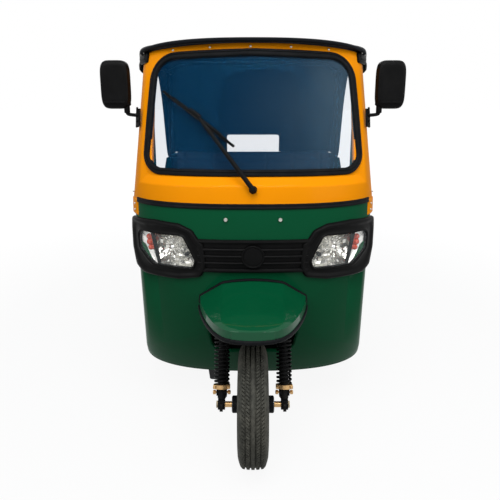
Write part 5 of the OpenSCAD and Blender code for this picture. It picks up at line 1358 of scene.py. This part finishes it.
class THREE_WHEELER_OT_seats(bpy.types.Operator):
    """Makes the four seat pads: swollen covers with sewn channels and piping"""

    bl_idname = "three_wheeler.seats"
    bl_label = "Seats"

    def execute(self, context):
        up, ahead = (0, 0, 1), (0, -1, 0)
        bench = [(0, x) for x in np.linspace(-0.4875, 0.4875, 6)]
        single = [(0, x) for x in (-0.13, 0.0, 0.13)]
        # Columns: piece, node, low corner, high corner, voxel, way it faces, seams, depth share at the top
        for row in (
            ("bench_cushion", "passenger_seat_cushion", (-0.585, 0.3225, 0.6003), (0.585, 0.8025, 0.7297),
             0.014, up, bench + [(1, 0.395)], 1.0),
            ("bench_back", "passenger_seat_back", (-0.585, 0.7825, 0.7305), (0.585, 0.9022, 1.068),
             0.014, ahead, bench + [(2, 0.985)], 0.583),
            ("driver_cushion", "driver_seat_cushion", (-0.26, -0.367, 0.5603), (0.26, -0.0285, 0.6597),
             0.0105, up, single + [(1, -0.305)], 1.0),
            ("driver_back", "driver_seat_back", (-0.26, -0.0907, 0.6606), (0.26, -0.021, 0.960),
             0.0105, ahead, single + [(2, 0.905)], 1.0),
        ):
            self.pad(*row)
        return {"FINISHED"}

    def pad(self, name, node, low, high, voxel, way, lines, taper):
        """One pad between two corners: a soft box, swollen, sewn, piped at its sides and tapered upwards."""
        cap, edge_r, base_h, seam, piping, gap = looks().seat_swell, 0.028, 0.012, 0.011, 0.006, 0.0004
        low, high = np.array(low), np.array(high)
        middle, half = (low + high) / 2, (high - low) / 2
        box = soft_box(half - 0.6 * cap, edge_r) + middle
        obj = piece(name, [one(box, wrap_cols=True)], "seat_vinyl", [node])
        settle(obj, "REMESH", mode="VOXEL", voxel_size=voxel)
        swell(obj, low[2] + 0.6 * cap + base_h, cap)
        settle(obj, "SUBSURF", levels=1, render_levels=1)
        p, n = coordinates(obj.data), coordinates(obj.data, "vertex_normals", "vector")
        p = sewn(p, n, way, lines, seam, seam)
        height = (p[:, 2] - low[2]) / (high[2] - low[2])
        for level, ridge in ((0.30, -0.003), (0.34, 0.0025)):
            level_z = np.exp(-(((p[:, 2] - mix(low[2], high[2], level)) / piping) ** 2))
            p = p + n * (ridge * level_z * (1 - np.abs(n[:, 2])))[:, None]
        p = np.clip(p, low + gap, high - gap)
        p[:, 1] = high[1] - (high[1] - p[:, 1]) * mix(1.0, taper, height)
        obj.data.vertices.foreach_set("co", p.astype(np.float32).ravel())
        obj.data.polygons.foreach_set("use_smooth", np.ones(len(obj.data.polygons), bool))
        obj.data.update()


def bend(points, n):
    """Smooth path through points, n places along it."""
    points = np.asarray(points, float)
    rows = np.column_stack([np.arange(len(points)), points])
    return along(curve_table(np.linspace(0, len(points) - 1, 8 * len(points)), rows), n)


MIRROR_AT, MIRROR_HALF = np.array([0.587, FRONT_AXLE[1] + 0.420, 1.482]), np.array([0.061, 0.050, 0.100])


def mirror_rings(shares, n=128):
    """Mirror housing: rings of a boxy superellipse, each given by its depth share and size share."""
    t = np.linspace(0, 2 * np.pi, n, endpoint=False)
    d, s = np.array(shares).T[..., None]
    ring = np.stack([power(np.cos(t), 0.42) * s, d + 0 * t, power(np.sin(t), 0.42) * s], -1)
    return ring * MIRROR_HALF + MIRROR_AT


class THREE_WHEELER_OT_mirrors(bpy.types.Operator):
    """Makes the mirrors on their arms and brackets"""

    bl_idname = "three_wheeler.mirrors"
    bl_label = "Mirrors"

    def execute(self, context):
        case = mirror_rings([
            (0.10, 0.0), (0.09, 0.3), (0.07, 0.55), (0.04, 0.76), (0.06, 0.86), (0.12, 0.93), (0.24, 0.975),
            (0.42, 1.0), (0.92, 1.0), (0.98, 0.99), (1.0, 0.965), (1.0, 0.93), (0.95, 0.92), (0.95, 0.0),
        ])
        glass = mirror_rings([(0.952, 0.915), (0.965, 0.91), (0.965, 0.0)])
        x, y, z = MIRROR_AT
        ledge_x = np.linspace(x - 0.048, x + 0.048, 24)
        ledge = np.stack([ledge_x, np.full(24, y + 0.004), np.full(24, z - 0.072)], -1)
        bar = rounded([(-0.006, -0.004), (0.012, -0.004), (0.012, 0.004), (-0.006, 0.004)], 0.002, 4)
        foot_z, foot_x, boss, back = z - 0.126, 0.488, x - 0.044, y + 0.026
        az = to_skin(np.array([[foot_x, foot_z]]))[0]
        plate = np.stack([np.full(20, az[0]), np.linspace(foot_z - 0.038, foot_z + 0.038, 20)], -1)
        section = rounded([(-0.015, 0.0004), (0.015, 0.0004), (0.015, 0.008), (-0.015, 0.008)], 0.0025, 4)
        start = on_skin(az[None], np.array([0.006]))[0]
        path = bend([
            start, start + [0.012, 0, -0.001], (boss - 0.004, back, foot_z + 0.004),
            (boss, back, foot_z + 0.016), (boss, back, foot_z + 0.046),
        ], 60)
        post = [
            (0.0, -0.020), (0.011, -0.020), (0.0125, -0.016), (0.0125, 0.010),
            (0.018, 0.014), (0.018, 0.026), (0.0, 0.026),
        ]
        grids = [
            one(case, wrap_cols=True),
            one(glass, wrap_cols=True, number=1),
            closed_bar(tube(ledge, bar)),
            closed_bar(skin_strip(plate, section)),
            rod(path, 0.0075, 14, up=(0, 1, 0)),
            one(turned(post, 24, (boss, back, foot_z + 0.028), "z"), wrap_rows=True),
        ]
        for height in (-0.026, 0.026):
            bolt = at_skin(foot_x, foot_z + height, hexagon(0.006, 0.004) + [0, 0, 0.0085])
            grids.append(one(bolt, wrap_rows=True))
        piece("mirror_pair", both_sides(grids), ["black_plastic", "mirror_glass"], ["mirrors"], sharp=30.0)
        return {"FINISHED"}


def screen_line(a, b, n, lift):
    """Points along a straight line in the front view of the windscreen, lifted off the skin."""
    xz = mix(np.asarray(a, float), np.asarray(b, float), np.linspace(0, 1, n)[:, None])
    return raised(xz, lift)


class THREE_WHEELER_OT_wiper(bpy.types.Operator):
    """Makes the wiper: boss, tapered arm, carrier and rubber blade"""

    bl_idname = "three_wheeler.wiper"
    bl_label = "Wiper"

    def execute(self, context):
        tip, high, low, pivot = np.array([(-0.228, 1.364), (-0.367, 1.452), (-0.076, 1.238), (0.0, 1.076)])
        up = (0, 1, 0)
        knee = screen_line(pivot, pivot, 1, 0.024)[0]
        end = screen_line(tip, tip, 1, 0.024)[0]
        t = np.linspace(0, 1, 40)
        arm = mix(knee, end, t[:, None]) + np.array([0, -0.006, 0.002]) * np.sin(np.pi * t)[:, None]
        grids = [closed_bar(tube(arm, circle(0.0080, 14, 0.0046), up=up, scale=mix(1.25, 0.85, t)))]
        boss = [
            (0.0, 0.001), (0.016, 0.001), (0.016, 0.008), (0.012, 0.012),
            (0.012, 0.026), (0.009, 0.031), (0.0, 0.033),
        ]
        grids.append(one(at_skin(*pivot, turned(boss, 28, (0, 0, 0), "z")), wrap_rows=True))
        bow = 0.012 + 0.010 * np.sin(np.pi * t)
        carrier = screen_line(mix(high, tip, 0.35), mix(low, tip, 0.35), 40, bow)
        grids.append(rod(carrier, 0.0062, 12, up=up))
        arch = 0.008 + 0.006 * np.sin(np.linspace(0, np.pi, 24))
        for outer in (high, low):
            middle = mix(outer, tip, 0.35)
            claw = screen_line(mix(outer, middle, 0.12), mix(middle, tip, 0.55), 24, arch)
            grids.append(rod(claw, 0.0036, 10, up=up))
        yoke = screen_line(mix(tip, high, 0.14), mix(tip, low, 0.14), 16, 0.023)
        grids.append(rod(yoke, 0.0085, 14, up=up))
        blade = tube(screen_line(high, low, 80, 0.0045), circle(0.0056, 10, 0.0080), up=up)
        grids.append(closed_bar(blade, 1))
        piece("wiper_arm", grids, ["black_plastic", "black_rubber"], ["wiper"])
        return {"FINISHED"}


class THREE_WHEELER_OT_fixings(bpy.types.Operator):
    """Makes the side flanges, the hood's front clamps, the plate studs and the panel screws"""

    bl_idname = "three_wheeler.fixings"
    bl_label = "Flanges, clamps and screws"

    def execute(self, context):
        r = looks().screw_radius
        heads = [at_skin(x, z, dome(r, 0.005)) for x, z in (
            (-0.331, 1.619), (-0.1745, 1.627), (-0.010, 1.630), (0.154, 1.6285), (0.312, 1.621))]
        for x, z in ((0.4785, 1.606), (0.4615, 1.6115)):
            heads += [at_skin(side * x, z, dome(r, 0.005) + [0, 0, 0.0145]) for side in (-1, 1)]
        for angle, z in ((22.5, 0.964), (22.2, 0.990), (20.0, 1.040)):
            a = np.array([[angle, z]])
            spot, way = on_skin(a, np.full(1, 0.0035))[0], skin_normal(a[:, 0], a[:, 1])[0]
            head = facing(dome(r * 0.8, 0.004), spot, way)
            heads += [head, mirrored(head)]
        piece("panel_screws", [one(head, wrap_rows=True) for head in heads], "bright_steel")
        stud = np.array([
            (0.0, 4.0), (3.0, 4.0), (4.2, 7.2), (7.0, 6.8), (8.6, 4.0), (8.6, 0.2), (0.0, 0.2),
        ]) * MM
        stud = turned(stud, 24, (0, 0, 0), "z")
        studs = [one(at_skin(side * 0.108, 0.959, stud), wrap_rows=True) for side in (-1, 1)]
        piece("plate_stud_pair", studs, "bright_steel", ["plate_studs"])
        self.clamps()
        self.flanges()
        return {"FINISHED"}

    def clamps(self):
        """Clamps at the hood's front corners: rounded plates with a raised middle."""
        corners = [
            (0.447, 1.574), (0.494, 1.568), (0.500, 1.598),
            (0.492, 1.632), (0.464, 1.634), (0.446, 1.612),
        ]
        edge = rounded(corners, [0.008, 0.008, 0.012, 0.008, 0.008, 0.012])
        rim = np.array([
            (0.0, 0.016), (0.5, 0.016), (0.62, 0.0155), (0.70, 0.011), (0.9, 0.010),
            (0.97, 0.008), (1.0, 0.003), (1.0, 0.0004), (0.0, 0.0004),
        ])
        clamp = raised(disc(edge, (0.472, 1.601), 72, rim[:, 0]), rim[:, 1:])
        piece("clamp_pair", both_sides([one(clamp, wrap_cols=True)]), "black_plastic", ["hood_clamps"])

    def flanges(self):
        """Flanges across the belt at the sides: sheets over the skin whose edges roll down to it."""
        across, up = np.meshgrid(np.linspace(0, 1, 16), np.linspace(0, 1, 24))
        az = np.stack([mix(13.5, 27.5, across), mix(0.944, 1.0115, up)], -1)
        edge = np.minimum(np.minimum(across, 1 - across) / 0.10, np.minimum(up, 1 - up) / 0.06)
        face = on_skin(az, 0.0008 + 0.0030 * smooth(edge))
        back = on_skin(az, np.full(across.shape, 0.0002))
        piece("side_flanges", both_sides(shell(face, back, False)), "yellow_paint")


QUARTER_Y, ARCH_R, CORNER_R = 0.2925, 0.2755, 0.120


def tub_half(z):
    """Half width of the rear body, which leans in towards the top by a square."""
    return 0.650 - 0.018 * np.clip((z - 0.300) / 0.700, 0.0, None) ** 2


def quarter_low(y):
    """Lower edge of the rear quarter: the wheel arch's circle over two level runs."""
    arch = REAR_AXLE[2] + np.sqrt(np.clip(ARCH_R**2 - (y - REAR_AXLE[1]) ** 2, 0.0, None))
    return np.maximum(arch, np.where(y < REAR_AXLE[1], 0.3003, 0.3615))


def quarter_high(y):
    """Upper edge of the rear quarter: a curve up from the floor to the waist."""
    share = np.clip((y - QUARTER_Y) / (TAIL_Y - QUARTER_Y), 0.0, 0.56)
    rise = curve_table(share, [[0.0, 0.36], [0.18, 0.62], [0.44, 0.84], [0.56, 1.0]])[:, 0]
    return np.minimum(mix(0.29, TUB_TOP_Z, rise), TUB_TOP_Z)


class THREE_WHEELER_OT_rear_body(bpy.types.Operator):
    """Makes the rear quarters with their wheel arch beads and the tail lamps"""

    bl_idname = "three_wheeler.rear_body"
    bl_label = "Rear body"

    def execute(self, context):
        run = np.linspace(QUARTER_Y, TAIL_Y - CORNER_R, 110)
        turn = np.radians(np.linspace(0, 90, 17)[1:])
        y = np.concatenate([run, TAIL_Y - CORNER_R + CORNER_R * np.sin(turn), [TAIL_Y]])
        pull = np.concatenate([0 * run, CORNER_R * (1 - np.cos(turn)), [CORNER_R]])
        z = mix(quarter_low(y), quarter_high(y), np.linspace(0, 1, 60)[:, None])
        x = tub_half(z) - pull
        x[:, -1] = 0.500
        swage = 0.005 * np.exp(-(((z - 0.640) / 0.010) ** 2))
        swage = swage * smooth((y - 0.52) / 0.10) * smooth((TAIL_Y - 0.10 - y) / 0.08)
        p = np.stack([x + swage, y + 0 * z, z], -1)
        rim = np.linspace(REAR_AXLE[1] - 0.268, REAR_AXLE[1] + 0.246, 120)
        bead = np.stack([tub_half(quarter_low(rim)), rim, quarter_low(rim)], -1)
        edge = np.linspace(QUARTER_Y, 0.838, 90)
        lip = np.stack([tub_half(quarter_high(edge)) - 0.004, edge, quarter_high(edge)], -1)
        for name, side, place in (("left", 1, lambda q: q), ("right", -1, mirrored)):
            node = f"quarter_panel_{name}"
            panel = piece(f"quarter_skin_{name}", [one(place(p))], "green_paint", [node], solid=False)
            wall(outward(panel, (side, 0, 0)), 0.014)
            beads = [rod(place(along(bead, 110)), 0.007, 12, up=(1, 0, 0)),
                     rod(place(along(lip, 90)), 0.0055, 10, number=1, up=(1, 0, 0))]
            piece(f"quarter_beads_{name}", beads, ["green_paint", "black_rubber"])
        self.tail_lamps()
        return {"FINISHED"}

    def tail_lamps(self):
        """Tail lamps: three ribbed blocks on a base, each a box whose edges fall off by high powers."""
        lamp_x, lamp_z, half, back, foot = 0.425, 0.790, 0.040, 0.003, 0.004
        block_h, rib_h, rib_pitch = 0.020, 0.0012, 0.0085
        i, j = np.meshgrid(np.linspace(-1, 1, 21), np.linspace(-1, 1, 49))
        fall = (np.clip(1 - np.abs(i) ** 12, 0, 1) * np.clip(1 - np.abs(j) ** 12, 0, 1)) ** 0.35
        grids = []
        for high, middle, number in ((0.038, 0.0535, 0), (0.0255, -0.0125, 1), (0.026, -0.0665, 0)):
            out = foot + block_h * fall - rib_h * fall * (1 + np.cos(2 * np.pi * j * high / rib_pitch)) / 2
            lens_face = np.stack([lamp_x + half * i, TAIL_Y + out, lamp_z + middle + high * j], -1)
            grids += shell(lens_face, lens_face * [1, 0, 1] + [0, TAIL_Y + back, 0], False, number)
        base = rounded([(0.383, 0.695), (0.467, 0.695), (0.467, 0.885), (0.383, 0.885)], 0.012)
        rings = [np.stack([base[:, 0], np.full(len(base), TAIL_Y + depth), base[:, 1]], -1)
                 for depth in (0.0004, 0.005, 0.006)]
        grids.append(closed_bar(np.stack(rings), 2))
        finishes = ["red_lens", "amber_lens", "black_plastic"]
        piece("tail_lamp_pair", both_sides(grids), finishes, ["tail_lamps"])


class THREE_WHEELER_OT_wheel_nuts(bpy.types.Operator):
    """Makes the wheel nuts and hub caps"""

    bl_idname = "three_wheeler.wheel_nuts"
    bl_label = "Wheel nuts"

    def execute(self, context):
        nuts, first, pitch_r, seat_x, cap_x = 5, 18.0, 0.055, 0.0225, 0.0502
        t = np.radians(np.arange(nuts) * 360.0 / nuts + first)
        for name, body, centre, side in (
            ("front_nuts", "front_wheel_set", FRONT_AXLE, 1),
            ("rear_nuts_left", "rear_wheel_set_left", REAR_AXLE, 1),
            ("rear_nuts_right", "rear_wheel_set_right", REAR_AXLE * [-1, 1, 1], -1),
        ):
            way = (side, 0, 0)
            spots = np.stack([0 * t + side * seat_x, pitch_r * np.cos(t), pitch_r * np.sin(t)], -1) + centre
            shapes = [facing(hexagon(0.0105, 0.012), spot, way) for spot in spots]
            shapes += [facing(dome(0.006, 0.009) + [0, 0, 0.010], spot, way) for spot in spots]
            if name != "front_nuts":
                cap_at = centre + np.array([side * cap_x, 0, 0])
                shapes.append(facing(dome(0.030, 0.010, 28), cap_at, way))
            piece(name, [one(shape, wrap_rows=True) for shape in shapes], "bright_steel", body=body)
        return {"FINISHED"}


class THREE_WHEELER_OT_cockpit(bpy.types.Operator):
    """Makes the ribbed grips, hand levers and blank dial on the handlebar"""

    bl_idname = "three_wheeler.cockpit"
    bl_label = "Handlebar fittings"

    def execute(self, context):
        elbow, tip = np.array([0.145, 0.0583, 0.736]), np.array([0.290, 0.175, 0.736])
        grids = []
        for side in (-1, 1):
            t = np.linspace(0, 1, 120)
            inner, outer = mix(elbow, tip, 0.36), tip + (tip - elbow) * 0.004
            path = mix(inner, outer, t[:, None]) * [side, 1, 1]
            ribs = 1.0 + 0.045 * np.cos(2 * np.pi * t * 26) * (t > 0.06) * (t < 0.94)
            ribs = ribs + 0.16 * smooth((0.05 - t) / 0.02)
            grids.append(rod(on_steering(*path.T), 0.0182, 20, up=STEER_AXIS, scale=ribs))
            reach = (tip - elbow)[[1, 0]] * [1, -1] / np.linalg.norm(tip - elbow)
            ahead = np.array([reach[0], reach[1], 0.0]) * 0.050
            lever = [(0.22, 0.0), (0.30, 0.8), (0.62, 1.0), (0.96, 0.85)]
            lever = bend([mix(elbow, tip, share) + ahead * out for share, out in lever], 50) * [side, 1, 1]
            grids.append(rod(on_steering(*lever.T), 0.0052, 12, number=1, up=STEER_AXIS))
        piece("handlebar_fittings", grids, ["black_rubber", "cast_alloy"], body="steering")
        self.dial()
        return {"FINISHED"}

    def dial(self):
        """Blank dial over the handlebar's middle: a turned rim, fourteen strokes and a needle."""
        lean = math.radians(50.0)
        way = STEER_BACK * math.sin(lean) + STEER_AXIS * math.cos(lean)
        centre = on_steering(0.0, 0.024, 0.714) + way * 0.070
        rim = [
            (0.0, 0.0005), (0.058, 0.0005), (0.0595, 0.004), (0.057, 0.007),
            (0.052, 0.006), (0.051, 0.003), (0.0, 0.003),
        ]
        dial = [one(facing(turned(rim, 48, (0, 0, 0), "z"), centre, way), wrap_rows=True)]
        for k, angle in enumerate(np.radians(np.linspace(-40, 220, 14))):
            r = np.array([0.046 - (0.008 if k % 2 == 0 else 0.005), 0.046])
            line = np.stack([np.cos(angle) * r, np.sin(angle) * r, np.array([0.0036, 0.0036])], -1)
            dial.append(rod(facing(line, centre, way), 0.0009, 6, number=1, up=way))
        needle = np.array([(0.006, -0.004, 0.0046), (-0.026, 0.020, 0.0046)])
        dial.append(rod(facing(needle, centre, way), 0.0012, 6, number=2, up=way))
        piece("dial", dial, ["black_plastic", "white_reflector", "red_lens"], body="steering")


class THREE_WHEELER_PT_sidebar(bpy.types.Panel):
    """Shows the settings and lists the operators"""

    bl_idname = "THREE_WHEELER_PT_sidebar"
    bl_label = "Three-wheeler"
    bl_space_type = "VIEW_3D"
    bl_region_type = "UI"
    bl_category = "Three-wheeler"

    def draw(self, context):
        for name in looks().__annotations__:
            self.layout.prop(looks(), name)
        for operator in OPERATORS:
            self.layout.operator(operator.bl_idname)


OPERATORS = (
    THREE_WHEELER_OT_finishes,
    THREE_WHEELER_OT_stage,
    THREE_WHEELER_OT_front_body,
    THREE_WHEELER_OT_windscreen,
    THREE_WHEELER_OT_lamp_mask,
    THREE_WHEELER_OT_headlamps,
    THREE_WHEELER_OT_mudguard,
    THREE_WHEELER_OT_tyres,
    THREE_WHEELER_OT_suspension,
    THREE_WHEELER_OT_hood,
    THREE_WHEELER_OT_seats,
    THREE_WHEELER_OT_mirrors,
    THREE_WHEELER_OT_wiper,
    THREE_WHEELER_OT_fixings,
    THREE_WHEELER_OT_rear_body,
    THREE_WHEELER_OT_wheel_nuts,
    THREE_WHEELER_OT_cockpit,
)
CLASSES = (ThreeWheelerLooks, *OPERATORS, THREE_WHEELER_PT_sidebar)


def register():
    """Registers the classes and gives the scene its settings."""
    for cls in CLASSES:
        bpy.utils.register_class(cls)
    bpy.types.Scene.three_wheeler_looks = bpy.props.PointerProperty(type=ThreeWheelerLooks)


def unregister():
    """Takes the settings and the classes away again."""
    del bpy.types.Scene.three_wheeler_looks
    for cls in reversed(CLASSES):
        bpy.utils.unregister_class(cls)


def main():
    """Runs every operator in order."""
    register()
    for operator in OPERATORS:
        group, name = operator.bl_idname.split(".")
        getattr(getattr(bpy.ops, group), name)()


if __name__ == "__main__":
    main()
